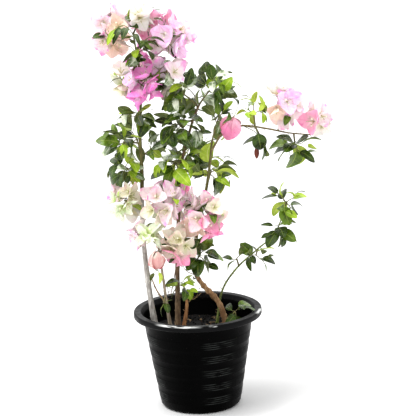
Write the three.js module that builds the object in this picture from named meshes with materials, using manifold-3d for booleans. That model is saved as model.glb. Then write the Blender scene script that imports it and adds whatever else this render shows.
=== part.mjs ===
// A bougainvillea bush in a round black nursery pot: slender stems with leaves and blossom in masses on them.
// Millimetres, +Z up. The origin is the middle of the pot's flat underside, and +Y points to the back.
import * as THREE from 'three';
import Module from 'manifold-3d';

const wasm = await Module();
wasm.setup();

// The pot is a turned shell with raised bands round its wall and a flat, rolled-down rim.
const POT = {
  height: 230,
  rimRadius: 150,
  rimWidth: 17,
  rimDepth: 13,
  rimRounding: 3,
  footRadius: 93,
  topRadius: 129,
  footRounding: 8,
  wall: 3,
  floor: 4,
  bands: 5,
  firstBand: 21,
  bandPitch: 35,
  bandHeight: 23,
  bandProud: 1.2,
  sides: 32,
};
const SOIL_TOP = 180;

// Room left between solids that would touch on the real plant, and the shortest edge kept after they are cut.
const CLEAR = 0.3;
const SMALLEST_EDGE = 0.1;

// Each limb is one tapering stem or bough through a few places, with its radius at the foot and at the tip.
// A limb that springs from another says from which one and how far along it.
const LIMBS = {
  left_stem: {
    through: [[-99, -10, SOIL_TOP], [-112, -10, 296], [-120, 0, 425], [-116, 5, 560], [-116, 0, 656],
      [-109, 0, 770], [-121, 0, 884]],
    radii: [7, 1.8],
    colour: 0x9c9184,
  },
  front_stem: {
    through: [[-62, -45, SOIL_TOP], [-71, -50, 263], [-77, -47, 325], [-85, -40, 395]],
    radii: [4.2, 1.9],
    colour: 0x96836a,
  },
  centre_stem: {
    through: [[-48, 10, SOIL_TOP], [-43, 20, 334], [-36, 30, 449], [-28, 25, 553], [2, 10, 664], [23, 5, 715]],
    radii: [6, 2.2],
    colour: 0x6b5440,
  },
  stump_stem: {
    through: [[-36, -20, SOIL_TOP], [-25, -25, 240], [-26, -25, 280]],
    radii: [4.4, 3],
    colour: 0x94623c,
  },
  main_stem: {
    through: [[69, -15, SOIL_TOP], [50, -20, 247], [4, -20, 309], [-3, -15, 371], [33, -15, 529],
      [48, -20, 631]],
    radii: [7.2, 2.4],
    colour: 0x8a6a48,
  },
  right_bough: {
    from: 'main_stem',
    fromAt: 0.95,
    through: [[76, -25, 654], [120, -30, 668], [175, -30, 659], [225, -20, 645], [280, -10, 636]],
    radii: [2.6, 1.4],
    colour: 0x7a6a45,
  },
  right_shoot: {
    through: [[44, 35, SOIL_TOP], [59, 45, 257], [96, 55, 309], [147, 65, 351], [189, 65, 388], [216, 56, 458]],
    radii: [2.6, 1.3],
    colour: 0x6f7a3c,
  },
};
const LIMB = { sides: 6, ringSpacing: 30, flare: 0.6, flareHeight: 14, probeSpacing: 9 };

// A mass of leaves and blossom: the limb that carries it and how far along, its middle and its half sizes,
// then its numbers of twigs, leaves and flowers, the size of its leaves against a full leaf, and its seed.
function mass(limb, at, centre, half, twigs, leaves, flowers, leafSize, seed) {
  return {
    limb, at, centre: new THREE.Vector3(...centre), half: new THREE.Vector3(...half),
    twigs, leaves, flowers, leafSize, seed,
  };
}
const MASSES = {
  top_blossom_left: mass('left_stem', 0.97, [-164, -10, 894], [54, 50, 50], 5, 4, 7, 0.7, 3),
  top_blossom_crown: mass('left_stem', 1, [-106, 2, 910], [50, 52, 40], 4, 3, 7, 0.7, 5),
  top_blossom_right: mass('left_stem', 0.95, [-44, -6, 874], [54, 50, 52], 5, 4, 7, 0.7, 2),
  leader_leaves: mass('left_stem', 0.93, [-108, -24, 846], [38, 38, 30], 4, 8, 0, 0.8, 4),
  upper_blossom_left: mass('left_stem', 0.82, [-106, -36, 772], [46, 36, 50], 4, 4, 7, 0.7, 6),
  upper_blossom_right: mass('left_stem', 0.84, [-48, -10, 796], [44, 44, 42], 4, 4, 5, 0.8, 7),
  upper_blossom_pale: mass('left_stem', 0.8, [-150, 12, 774], [30, 34, 44], 3, 4, 3, 0.6, 9),
  leader_back: mass('left_stem', 0.85, [-104, 54, 790], [44, 36, 54], 4, 5, 4, 0.8, 10),
  left_leaves_upper: mass('left_stem', 0.7, [-118, -6, 694], [44, 44, 34], 5, 14, 0, 0.85, 11),
  left_leaves_outer: mass('left_stem', 0.62, [-156, -6, 634], [42, 42, 38], 5, 12, 0, 0.85, 12),
  left_leaves_low: mass('left_stem', 0.5, [-156, 0, 572], [40, 42, 38], 5, 11, 0, 0.85, 13),
  left_leaves_inner: mass('left_stem', 0.56, [-86, -6, 618], [28, 38, 36], 4, 9, 0, 0.8, 14),
  left_leaves_back: mass('left_stem', 0.58, [-128, 62, 630], [40, 34, 56], 4, 7, 0, 0.95, 15),
  centre_crown_left: mass('centre_stem', 0.97, [-26, -4, 752], [46, 50, 46], 5, 14, 0, 0.9, 16),
  centre_crown_right: mass('centre_stem', 1, [58, -4, 758], [48, 50, 46], 5, 14, 0, 0.9, 17),
  centre_heart: mass('centre_stem', 0.84, [-20, -8, 668], [56, 52, 48], 6, 15, 0, 0.95, 18),
  centre_right: mass('main_stem', 1, [66, 0, 684], [34, 44, 42], 4, 11, 0, 0.85, 19),
  centre_low: mass('centre_stem', 0.6, [-38, -4, 580], [52, 50, 50], 6, 15, 0, 0.95, 20),
  centre_low_right: mass('main_stem', 0.78, [44, -8, 560], [44, 44, 50], 5, 13, 0, 0.95, 21),
  back_crown: mass('centre_stem', 0.95, [14, 92, 716], [56, 42, 60], 4, 9, 0, 1, 22),
  back_heart: mass('centre_stem', 0.7, [8, 92, 592], [54, 42, 62], 4, 9, 0, 1, 23),
  back_blossom: mass('centre_stem', 0.42, [-48, 92, 470], [56, 44, 56], 5, 6, 6, 0.9, 24),
  low_blossom_left: mass('left_stem', 0.42, [-160, -12, 498], [44, 44, 46], 4, 5, 6, 0.7, 25),
  low_blossom_middle: mass('centre_stem', 0.42, [-72, -36, 494], [48, 46, 46], 5, 6, 7, 0.8, 26),
  low_blossom_right: mass('main_stem', 0.64, [24, -44, 458], [46, 46, 52], 5, 5, 8, 0.8, 27),
  low_blossom_front: mass('front_stem', 1, [-112, -48, 424], [40, 40, 38], 4, 4, 5, 0.8, 28),
  low_blossom_foot: mass('main_stem', 0.55, [-40, -46, 392], [48, 42, 42], 5, 6, 7, 0.85, 29),
  low_bud: mass('front_stem', 0.88, [-92, -58, 342], [36, 34, 38], 2, 2, 1, 0.6, 30),
  low_leaves: mass('main_stem', 0.5, [10, -28, 366], [36, 36, 44], 4, 10, 0, 0.9, 31),
  bough_bloom: mass('right_bough', 0.18, [94, -50, 690], [38, 38, 38], 2, 3, 1, 0.8, 32),
  bough_leaves: mass('right_bough', 0.5, [146, -24, 702], [38, 40, 30], 4, 10, 0, 0.65, 33),
  bough_blossom: mass('right_bough', 0.7, [214, -26, 714], [46, 46, 48], 5, 5, 7, 0.6, 34),
  bough_leaf_low: mass('right_bough', 0.5, [162, -40, 636], [32, 34, 36], 2, 2, 0, 1.15, 35),
  bough_leaves_far: mass('right_bough', 0.84, [238, -20, 612], [38, 38, 28], 4, 10, 0, 0.75, 36),
  bough_tip: mass('right_bough', 1, [292, -10, 672], [38, 38, 38], 4, 4, 4, 0.6, 37),
  shoot_leaf_low: mass('right_shoot', 0.42, [96, 50, 334], [24, 26, 22], 2, 4, 0, 0.6, 38),
  shoot_leaves_middle: mass('right_shoot', 0.6, [142, 62, 336], [32, 32, 28], 3, 7, 0, 0.65, 39),
  shoot_leaves_high: mass('right_shoot', 0.8, [196, 62, 400], [34, 32, 30], 3, 7, 0, 0.65, 40),
  shoot_tip: mass('right_shoot', 1, [216, 56, 464], [42, 38, 42], 5, 13, 0, 0.6, 41),
  foot_leaves: mass('stump_stem', 1, [-32, -28, 296], [36, 34, 26], 4, 10, 0, 0.65, 42),
  foot_leaf: mass('front_stem', 0.4, [-78, -62, 264], [22, 22, 22], 2, 2, 0, 0.55, 43),
  sucker: mass('main_stem', 0.05, [88, -24, 226], [28, 28, 26], 3, 7, 0, 0.65, 44),
};

// A mass's own space is its rounded outline, a little enlarged and cut off short of each neighbour.
const SPACE = { enlarge: 1.25, margin: 0.8 };

// A mass hangs on a stem that rises a little from the limb. From a few places on, counted from its foot, the stem
// takes up room that the mass's twigs and leaves keep clear of.
const STEM = { radius: 2.3, rise: 0.08, probes: 12, firstTaken: 3 };

// Twigs arch out of the stem's outer part toward the edge of the mass. They stop short of it by a share of the
// length of a leaf or bract, and longer ones bend in the middle. A twig's first few places aren't tested and don't
// take up room, because they lie by the stem. Twigs root along the stem in steps, not in their own order.
const TWIG = {
  radius: 1.3,
  rise: 0.14,
  clear: 2.9,
  bendsFrom: 32,
  shortest: 10,
  rootAt: 0.97,
  rootSpread: 0.4,
  shortOfLeaf: 0.6,
  shortOfBract: 0.72,
  leastReach: 0.8,
  reachSpread: 0.3,
  heightSpread: 0.3,
  probes: 8,
  firstTested: 3,
  firstTaken: 2,
  rootStep: 3,
};

// A full leaf: its sizes, how its direction mixes ways along the twig, out of the mass and up or down, how its
// upper side faces up and out, how its size varies, and where along a twig the first and last leaf sit.
const LEAF = {
  length: 46,
  width: 34,
  thick: 1.6,
  droop: 0.12,
  widest: 0.42,
  along: 0.5,
  outward: 0.5,
  lowest: -0.25,
  highest: 0.05,
  faceUp: 0.7,
  faceOut: 0.75,
  least: 0.8,
  spread: 0.35,
  first: 0.96,
  last: 0.36,
};

// A flower is three papery bracts that lean out from its axis, in degrees, and make a cup. A flower at a twig's
// end tilts less than one along it, and each try tilts more.
const FLOWER = {
  bracts: 3,
  length: 38,
  width: 35,
  widest: 0.5,
  lean: 44,
  leanSpread: 14,
  neck: 5,
  core: 2.2,
  spacing: 0.35,
  endTilt: 0.2,
  sideTilt: 0.9,
  moreTilt: 0.15,
  least: 0.88,
  spread: 0.2,
};

// What a leaf or bract keeps clear of: limbs and stems, and what its own mass already grew.
const BLADE_CLEAR = { limb: 4.1, own: 5 };

// Each twig, leaf and flower has this many tries to find room, and each try is a little smaller. The seeds of a
// mass's twigs follow on from this many times the mass's own seed.
const TRIES = 24;
const SHRINK = 0.015;
const SEED_STEP = 101;

const GOLDEN_ANGLE = Math.PI * (3 - Math.sqrt(5));
const FULL_TURN = 2 * Math.PI;
const UP = new THREE.Vector3(0, 0, 1);

// Materials
const finish = (color, roughness) => new THREE.MeshStandardMaterial({ color, roughness, metalness: 0 });
const potPlastic = () => finish(0x141515, 0.4);
const pottingSoil = () => finish(0x1d1611, 0.95);
const bark = (colour) => finish(colour, 0.8);
const leafGreen = () => finish(0x3f6b2a, 0.5);
const bractPink = () => finish(0xe9a3c4, 0.65);

// Vectors
const vector = (x, y, z) => new THREE.Vector3(x, y, z);
const between = (a, b, t) => a.clone().lerp(b, t);
const unit = (v) => v.clone().normalize();
const cross = (a, b) => new THREE.Vector3().crossVectors(a, b);

// The sum of some vectors, each times its own amount, as a direction.
function blend(...terms) {
  const sum = vector(0, 0, 0);
  for (const [amount, v] of terms) sum.addScaledVector(v, amount);
  return sum.normalize();
}

// The direction nearest to a that lies square to b.
function squareTo(b, a) {
  const steep = Math.abs(a.dot(b)) > 0.999 * a.length();
  return unit((steep ? vector(1, 0, 0) : a).clone().projectOnPlane(b));
}

// The direction at an angle round an axis, counted from the upward side.
function roundAxis(axis, angle) {
  const top = squareTo(axis, UP);
  return blend([Math.cos(angle), top], [Math.sin(angle), cross(axis, top)]);
}

// Even chances from 0 to 1 that a seed fixes.
function chances(seed) {
  let state = (seed * 2654435761) >>> 0;
  return () => {
    state = (Math.imul(state, 1664525) + 1013904223) >>> 0;
    return ((state >>> 8) & 0xffff) / 0x10000;
  };
}

// Solids
function solidFrom(corners, faces) {
  const vertProperties = new Float32Array(corners.flatMap((c) => c.toArray()));
  const triVerts = new Uint32Array(faces.flat());
  return new wasm.Manifold(new wasm.Mesh({ numProp: 3, vertProperties, triVerts }));
}

// The largest of a solid's separate pieces. Scraps are dropped.
const largest = (solid) => solid.decompose().sort((a, b) => b.volume() - a.volume())[0];

function meshOf(name, geometry, material) {
  const mesh = new THREE.Mesh(geometry, material);
  mesh.name = name;
  return mesh;
}

function meshFromSolid(name, solid, material) {
  const { vertProperties, triVerts } = solid.getMesh();
  const geometry = new THREE.BufferGeometry();
  geometry.setAttribute('position', new THREE.BufferAttribute(new Float32Array(vertProperties), 3));
  geometry.setIndex(new THREE.BufferAttribute(new Uint32Array(triVerts), 1));
  return meshOf(name, geometry, material);
}

// A tapering tube with flat sides: a ring of corners at each point of its line, and a cap at each end.
function tube(line, radii, sides, levelFoot = false) {
  const last = line.length - 1;
  const corners = [];
  let side = vector(1, 0, 0);
  line.forEach((point, i) => {
    const ahead = line[Math.min(i + 1, last)];
    const behind = line[Math.max(i - 1, 0)];
    const along = levelFoot && i === 0 ? UP : unit(ahead.clone().sub(behind));
    side = squareTo(along, side);
    const other = cross(along, side);
    for (let k = 0; k < sides; k++) {
      const turn = (FULL_TURN * k) / sides;
      const out = blend([Math.cos(turn), side], [Math.sin(turn), other]);
      corners.push(point.clone().addScaledVector(out, radii[i]));
    }
  });
  const faces = [];
  for (let i = 0; i < last; i++) {
    for (let k = 0; k < sides; k++) {
      const a = i * sides + k;
      const b = i * sides + ((k + 1) % sides);
      faces.push([a, b, b + sides], [a, b + sides, a + sides]);
    }
  }
  const top = last * sides;
  for (let k = 1; k < sides - 1; k++) {
    faces.push([0, k + 1, k], [top, top + k, top + k + 1]);
  }
  return solidFrom(corners, faces);
}

// A curve that leaves one place and arches over to another.
function arch(from, to, rise) {
  const over = between(from, to, 0.5).addScaledVector(UP, rise * from.distanceTo(to));
  return new THREE.QuadraticBezierCurve3(from, over, to);
}

// A limb's curve, with its radius at any part of the way. Its foot flares where it stands on the soil.
function makeLimb({ from, fromAt, through, radii, colour }, earlier) {
  const places = through.map((place) => vector(...place));
  if (from) places.unshift(earlier[from].curve.getPoint(fromAt));
  const curve = new THREE.CatmullRomCurve3(places, false, 'catmullrom');
  const radiusAt = (t) => {
    const height = curve.getPoint(t).z - SOIL_TOP;
    const flare = from ? 0 : LIMB.flare * radii[0] * Math.exp(-height / LIMB.flareHeight);
    return radii[0] + (radii[1] - radii[0]) * t + flare;
  };
  return { from, colour, curve, radiusAt };
}

function limbSolid(limb, extra) {
  const steps = Math.round(limb.curve.getLength() / LIMB.ringSpacing);
  const radii = Array.from({ length: steps + 1 }, (_, i) => limb.radiusAt(i / steps) + extra);
  return tube(limb.curve.getPoints(steps), radii, LIMB.sides, !limb.from);
}

const limbs = {};
for (const [name, sizes] of Object.entries(LIMBS)) {
  limbs[name] = makeLimb(sizes, limbs);
}

// Each limb with the clear room round it, which is cut out of whatever meets it.
const limbRooms = {};
for (const [name, limb] of Object.entries(limbs)) {
  limbRooms[name] = limbSolid(limb, CLEAR);
}

// Places along limbs and stems that twigs and leaves keep clear of. A mass needn't keep clear of its own stem.
const kept = [];
for (const limb of Object.values(limbs)) {
  const count = Math.round(limb.curve.getLength() / LIMB.probeSpacing);
  limb.curve.getPoints(count).forEach((point, i) => {
    kept.push({ point, radius: limb.radiusAt(i / count), owner: null });
  });
}
for (const owner of Object.values(MASSES)) {
  owner.stem = arch(limbs[owner.limb].curve.getPoint(owner.at), owner.centre, STEM.rise);
  for (const point of owner.stem.getPoints(STEM.probes)) {
    kept.push({ point, radius: STEM.radius, owner });
  }
}
function isClear(owner, point, room) {
  return kept.every((k) => k.owner === owner || k.point.distanceTo(point) > k.radius + room);
}

// How far a mass reaches from its middle in a direction.
const reach = (owner, way) => owner.half.clone().multiply(way).length();

function inSpace(owner, point) {
  const off = point.clone().sub(owner.centre);
  if (off.clone().divide(owner.half).length() > SPACE.enlarge) return false;
  return Object.values(MASSES).every((other) => {
    if (other === owner) return true;
    const apart = other.centre.clone().sub(owner.centre);
    const way = unit(apart);
    const own = reach(owner, way);
    return off.dot(way) < (apart.length() * own) / (own + reach(other, way)) - SPACE.margin;
  });
}

// A leaf is a blade of six faces: its root, two shoulders, its drooping tip and a keel under its middle.
const BLADE_FACES = [[0, 1, 3], [1, 2, 3], [0, 3, 4], [3, 2, 4], [2, 1, 4], [1, 0, 4]];
function leafCorners(root, along, face, size) {
  const side = cross(face, along);
  const at = (x, y, z) => root.clone()
    .addScaledVector(along, x)
    .addScaledVector(side, y)
    .addScaledVector(face, z);
  const length = LEAF.length * size;
  const halfWidth = (LEAF.width * size) / 2;
  const broad = length * LEAF.widest;
  return [at(0, 0, 0), at(broad, -halfWidth, 0), at(length, 0, -length * LEAF.droop), at(broad, halfWidth, 0),
    at(broad, 0, -LEAF.thick)];
}

// A flower's corners: its heart, its foot, and for each bract two shoulders round a tip and the notch after it.
function flowerCorners(foot, axis, start, lean, size) {
  const neck = foot.clone().addScaledVector(axis, FLOWER.neck);
  const corners = [neck.clone().addScaledVector(axis, FLOWER.core), foot];
  for (let b = 0; b < FLOWER.bracts; b++) {
    const angle = start + (FULL_TURN * b) / FLOWER.bracts;
    const out = roundAxis(axis, angle);
    const along = blend([Math.cos(lean), axis], [Math.sin(lean), out]);
    const side = cross(axis, out);
    const middle = neck.clone().addScaledVector(along, FLOWER.length * FLOWER.widest * size);
    const halfWidth = (FLOWER.width * size) / 2;
    corners.push(
      middle.clone().addScaledVector(side, -halfWidth),
      neck.clone().addScaledVector(along, FLOWER.length * size),
      middle.clone().addScaledVector(side, halfWidth),
      neck.clone().addScaledVector(roundAxis(axis, angle + Math.PI / FLOWER.bracts), FLOWER.core),
    );
  }
  return corners;
}
const FLOWER_FACES = [];
for (let b = 0; b < FLOWER.bracts; b++) {
  const [first, tip, second, notch] = [2, 3, 4, 5].map((i) => i + 4 * b);
  const before = 5 + 4 * ((b + FLOWER.bracts - 1) % FLOWER.bracts);
  FLOWER_FACES.push([0, before, first], [0, first, tip], [0, tip, second], [0, second, notch]);
  FLOWER_FACES.push([before, tip, first], [before, notch, tip], [notch, second, tip], [1, notch, before]);
}

// A flower's bracts one by one, each as a root, a shoulder, a tip, a shoulder and a middle, like a leaf.
function bractsOf(corners) {
  const bracts = [];
  for (let b = 0; b < FLOWER.bracts; b++) {
    const [first, tip, second] = corners.slice(2 + 4 * b);
    bracts.push([corners[0], first, tip, second, between(corners[0], tip, FLOWER.widest)]);
  }
  return bracts;
}

// Places spread over a blade, at which it is tested.
function placesOn([root, first, tip, second, middle]) {
  const pairs = [[root, middle], [middle, tip], [first, middle], [second, middle], [first, tip], [second, tip]];
  return [first, tip, second, middle, ...pairs.map(([a, b]) => between(a, b, 0.5))];
}

// Whether a blade lies in its mass's space, clear of limbs, stems and what the mass already grew.
function bladeFits(owner, twig, blade) {
  if (!blade.slice(1, 4).every((corner) => inSpace(owner, corner))) return false;
  return placesOn(blade).every((place) => isClear(owner, place, BLADE_CLEAR.limb)
    && owner.taken.every((t) => t.twig === twig || t.point.distanceTo(place) > BLADE_CLEAR.own));
}

function firstThatFits(attempt) {
  for (let i = 0; i < TRIES; i++) {
    const found = attempt(i);
    if (found) return found;
  }
  return null;
}

// A twig from the mass's stem to a place near the edge of its space. The twigs are spread evenly over a ball.
function growTwig(owner, k) {
  const draw = chances(owner.seed * SEED_STEP + k);
  const height = 1 - (2 * (k + 0.5)) / owner.twigs;
  const level = Math.sqrt(1 - height * height);
  const shortOfLeaf = TWIG.shortOfLeaf * LEAF.length * owner.leafSize;
  const tipRoom = owner.flowers ? TWIG.shortOfBract * FLOWER.length : shortOfLeaf;
  const rootAt = TWIG.rootAt - (TWIG.rootSpread * ((k * TWIG.rootStep) % owner.twigs)) / owner.twigs;
  return firstThatFits((i) => {
    const turn = GOLDEN_ANGLE * k + owner.seed + (i ? FULL_TURN * draw() : 0);
    const rise = height + TWIG.heightSpread * (draw() - 0.5);
    const way = unit(vector(level * Math.cos(turn), level * Math.sin(turn), rise));
    const share = TWIG.leastReach + TWIG.reachSpread * draw();
    const far = Math.max(TWIG.shortest, (reach(owner, way) - tipRoom) * share);
    const tip = owner.centre.clone().addScaledVector(way, far);
    const curve = arch(owner.stem.getPoint(rootAt), tip, TWIG.rise);
    const outer = curve.getPoints(TWIG.probes).slice(TWIG.firstTested);
    const fits = outer.every((point) => inSpace(owner, point) && isClear(owner, point, TWIG.clear));
    return fits ? { curve, way, k, draw } : null;
  });
}

function growLeaf(owner, twig, at) {
  const { curve, way, draw } = twig;
  const along = curve.getTangent(at);
  return firstThatFits((i) => {
    const lift = LEAF.lowest + (LEAF.highest - LEAF.lowest) * draw();
    const direction = blend(
      [1, roundAxis(along, FULL_TURN * draw())], [LEAF.along, along], [LEAF.outward, way], [lift, UP]);
    const face = squareTo(direction, blend([LEAF.faceUp, UP], [LEAF.faceOut, way]));
    const size = owner.leafSize * (LEAF.least + LEAF.spread * draw()) * (1 - SHRINK * i);
    const corners = leafCorners(curve.getPoint(at), direction, face, size);
    return bladeFits(owner, twig, corners) ? corners : null;
  });
}

function growFlower(owner, twig, at) {
  const { curve, way, draw } = twig;
  return firstThatFits((i) => {
    const tilt = (at < 1 ? FLOWER.sideTilt : FLOWER.endTilt) + FLOWER.moreTilt * i;
    const axis = blend([1, way], [tilt, roundAxis(way, FULL_TURN * draw())]);
    const lean = THREE.MathUtils.degToRad(FLOWER.lean + FLOWER.leanSpread * (draw() - 0.5));
    const size = (FLOWER.least + FLOWER.spread * draw()) * (1 - SHRINK * i);
    const foot = curve.getPoint(at).addScaledVector(axis, -CLEAR);
    const corners = flowerCorners(foot, axis, FULL_TURN * draw(), lean, size);
    return bractsOf(corners).every((bract) => bladeFits(owner, twig, bract)) ? corners : null;
  });
}

// How many of a mass's leaves or flowers its twig number k gets, dealt out evenly.
const dealt = (count, k, twigs) => Math.round((count * (k + 1)) / twigs) - Math.round((count * k) / twigs);

// One mass: a stem from its limb, twigs out of that in all directions, then flowers and leaves along the twigs.
function growMass(owner) {
  owner.taken = owner.stem.getPoints(STEM.probes).slice(STEM.firstTaken).map((point) => ({ point }));
  const pieces = [tube(owner.stem.getPoints(2), [STEM.radius, STEM.radius, STEM.radius], 3)];
  const twigs = [];
  for (let k = 0; k < owner.twigs; k++) {
    const twig = growTwig(owner, k);
    if (twig) twigs.push(twig);
  }
  for (const twig of twigs) {
    const line = twig.curve.getPoints(twig.curve.getLength() > TWIG.bendsFrom ? 2 : 1);
    pieces.push(tube(line, line.map(() => TWIG.radius), 3));
    const grown = twig.curve.getPoints(TWIG.probes).slice(TWIG.firstTaken);
    grown.forEach((point) => owner.taken.push({ point, twig }));
  }
  for (const twig of twigs) {
    const flowers = dealt(owner.flowers, twig.k, owner.twigs);
    for (let j = 0; j < flowers; j++) {
      const corners = growFlower(owner, twig, 1 - FLOWER.spacing * j);
      if (!corners) continue;
      pieces.push(solidFrom(corners, FLOWER_FACES));
      bractsOf(corners).flatMap(placesOn).forEach((point) => owner.taken.push({ point }));
    }
  }
  for (const twig of twigs) {
    const leaves = dealt(owner.leaves, twig.k, owner.twigs);
    for (let j = 0; j < leaves; j++) {
      const corners = growLeaf(owner, twig, LEAF.first - ((LEAF.first - LEAF.last) * j) / leaves);
      if (!corners) continue;
      pieces.push(solidFrom(corners, BLADE_FACES));
      placesOn(corners).forEach((point) => owner.taken.push({ point }));
    }
  }
  let whole = wasm.Manifold.union(pieces);
  for (const room of Object.values(limbRooms)) whole = whole.subtract(room);
  return largest(whole.simplify(SMALLEST_EDGE));
}

// The radius of the pot's plain wall at a height.
function wallRadius(z) {
  return POT.footRadius + ((POT.topRadius - POT.footRadius) * z) / (POT.height - POT.rimDepth);
}

// The pot's outline, up the outside from the middle of the underside and down the inside to its floor.
function potOutline() {
  const underRim = POT.height - POT.rimDepth;
  const { rimRadius, rimRounding: round, footRounding } = POT;
  const outline = [
    [0, 0],
    [POT.footRadius - footRounding, 0],
    [wallRadius(0) - footRounding * 0.3, footRounding * 0.3],
    [wallRadius(footRounding), footRounding],
  ];
  for (let i = 0; i < POT.bands; i++) {
    const low = POT.firstBand + i * POT.bandPitch;
    const high = low + POT.bandHeight;
    outline.push([wallRadius(low), low], [wallRadius(low) + POT.bandProud, low + 1], [wallRadius(high), high]);
  }
  outline.push(
    [wallRadius(underRim), underRim],
    [rimRadius - round, underRim - round / 2],
    [rimRadius, underRim + round / 2],
    [rimRadius, POT.height - round],
    [rimRadius - round, POT.height],
    [rimRadius - POT.rimWidth, POT.height],
    [wallRadius(underRim) - POT.wall, underRim],
    [wallRadius(POT.floor) - POT.wall, POT.floor],
    [0, POT.floor],
  );
  return outline;
}

// Soil fills the pot to its level, a little clear of the wall and floor.
function soilOutline() {
  const low = POT.floor + CLEAR;
  const edge = (z) => wallRadius(z) - POT.wall - CLEAR;
  return [[0, low], [edge(low), low], [edge(SOIL_TOP), SOIL_TOP], [0, SOIL_TOP]];
}

// An outline of radii and heights turned about the upright axis.
function turned(outline) {
  const points = outline.map(([radius, z]) => new THREE.Vector2(radius, z));
  return new THREE.LatheGeometry(points, POT.sides).rotateX(Math.PI / 2);
}

function buildLimb(name, limb) {
  const solid = limbSolid(limb, 0);
  const trimmed = limb.from ? largest(solid.subtract(limbRooms[limb.from])) : solid;
  return meshFromSolid(name, trimmed, bark(limb.colour));
}

function buildMass(name, owner) {
  return meshFromSolid(name, growMass(owner), owner.flowers ? bractPink() : leafGreen());
}

const bush = new THREE.Group();
bush.add(meshOf('pot', turned(potOutline()), potPlastic()));
bush.add(meshOf('soil', turned(soilOutline()), pottingSoil()));
for (const [name, limb] of Object.entries(limbs)) {
  bush.add(buildLimb(name, limb));
}
for (const [name, owner] of Object.entries(MASSES)) {
  bush.add(buildMass(name, owner));
}

export default bush;
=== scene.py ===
# A bougainvillea bush in a round black nursery pot
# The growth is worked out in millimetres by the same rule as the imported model's, and built in metres.
from math import cos, exp, floor, hypot, inf, pi, radians, sin, sqrt
from types import SimpleNamespace as Values

import bpy
import numpy as np
from mathutils import Matrix, Vector, noise


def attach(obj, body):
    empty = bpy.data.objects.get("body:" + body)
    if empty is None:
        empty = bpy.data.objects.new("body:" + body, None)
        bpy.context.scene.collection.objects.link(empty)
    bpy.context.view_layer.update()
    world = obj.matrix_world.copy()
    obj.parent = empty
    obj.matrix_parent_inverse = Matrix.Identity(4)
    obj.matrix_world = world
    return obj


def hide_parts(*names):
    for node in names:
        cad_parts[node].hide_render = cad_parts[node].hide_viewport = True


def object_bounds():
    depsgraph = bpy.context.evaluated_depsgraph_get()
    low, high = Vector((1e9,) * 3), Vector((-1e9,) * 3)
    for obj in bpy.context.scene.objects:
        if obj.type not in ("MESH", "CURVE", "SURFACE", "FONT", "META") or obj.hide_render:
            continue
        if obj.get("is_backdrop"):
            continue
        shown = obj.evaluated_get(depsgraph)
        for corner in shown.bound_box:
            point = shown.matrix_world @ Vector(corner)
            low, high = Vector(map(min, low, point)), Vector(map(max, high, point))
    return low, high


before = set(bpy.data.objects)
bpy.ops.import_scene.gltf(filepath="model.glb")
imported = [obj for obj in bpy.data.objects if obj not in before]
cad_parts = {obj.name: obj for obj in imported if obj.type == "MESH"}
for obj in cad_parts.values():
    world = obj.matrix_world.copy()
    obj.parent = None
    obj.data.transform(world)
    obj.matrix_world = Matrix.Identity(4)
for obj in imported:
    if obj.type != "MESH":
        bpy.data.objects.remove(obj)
cad_low, cad_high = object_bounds()

MM = 0.001
UP = np.array((0.0, 0.0, 1.0))
FULL_TURN = 2 * pi
GOLDEN_ANGLE = pi * (3 - sqrt(5))

# The camera's place in metres, pitch and roll in degrees, focal length and photo's width in pixels, and the
# width of its sensor in millimetres
CAMERA = Values(place=(0.0333, -4.8, 1.6518), pitch=13.824, roll=2.2, focal=2135.96, photo=416, sensor=36)

# Each sun's strength, its width in degrees and where it shines from
SUNS = {"key": (2.2, 50, (-0.85, -0.22, 1.5)), "back": (1.4, 60, (0.3, 0.9, 1.2)),
        "top": (0.9, 14, (-0.3, -0.1, 1))}
WORLD_STRENGTH = 1.18
FLOOR = Values(reach=30, height=-0.0004)

# The pot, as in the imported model, with fine ribs on its bands
POT = Values(height=230, rim_radius=150, rim_width=17, rim_depth=13, rim_rounding=3, foot_radius=93,
             top_radius=129, foot_rounding=8, wall=3, floor=4, bands=5, first_band=21, band_pitch=35, ribs=9,
             rib_pitch=2.5, rib_proud=0.55, sides=144)
SOIL_TOP = 180
CLEAR = 0.3


# A stem or bough: the places that it passes, its radii at foot and tip, its bark's colours, the record's
# slot, the limb that it springs from and how far along that, each burl's place, height and width along it,
# and how far along its bark turns young and green
def taper(through, radii, bark, slot, root=None, burls=(), young_from=1):
    return Values(**locals())


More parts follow.
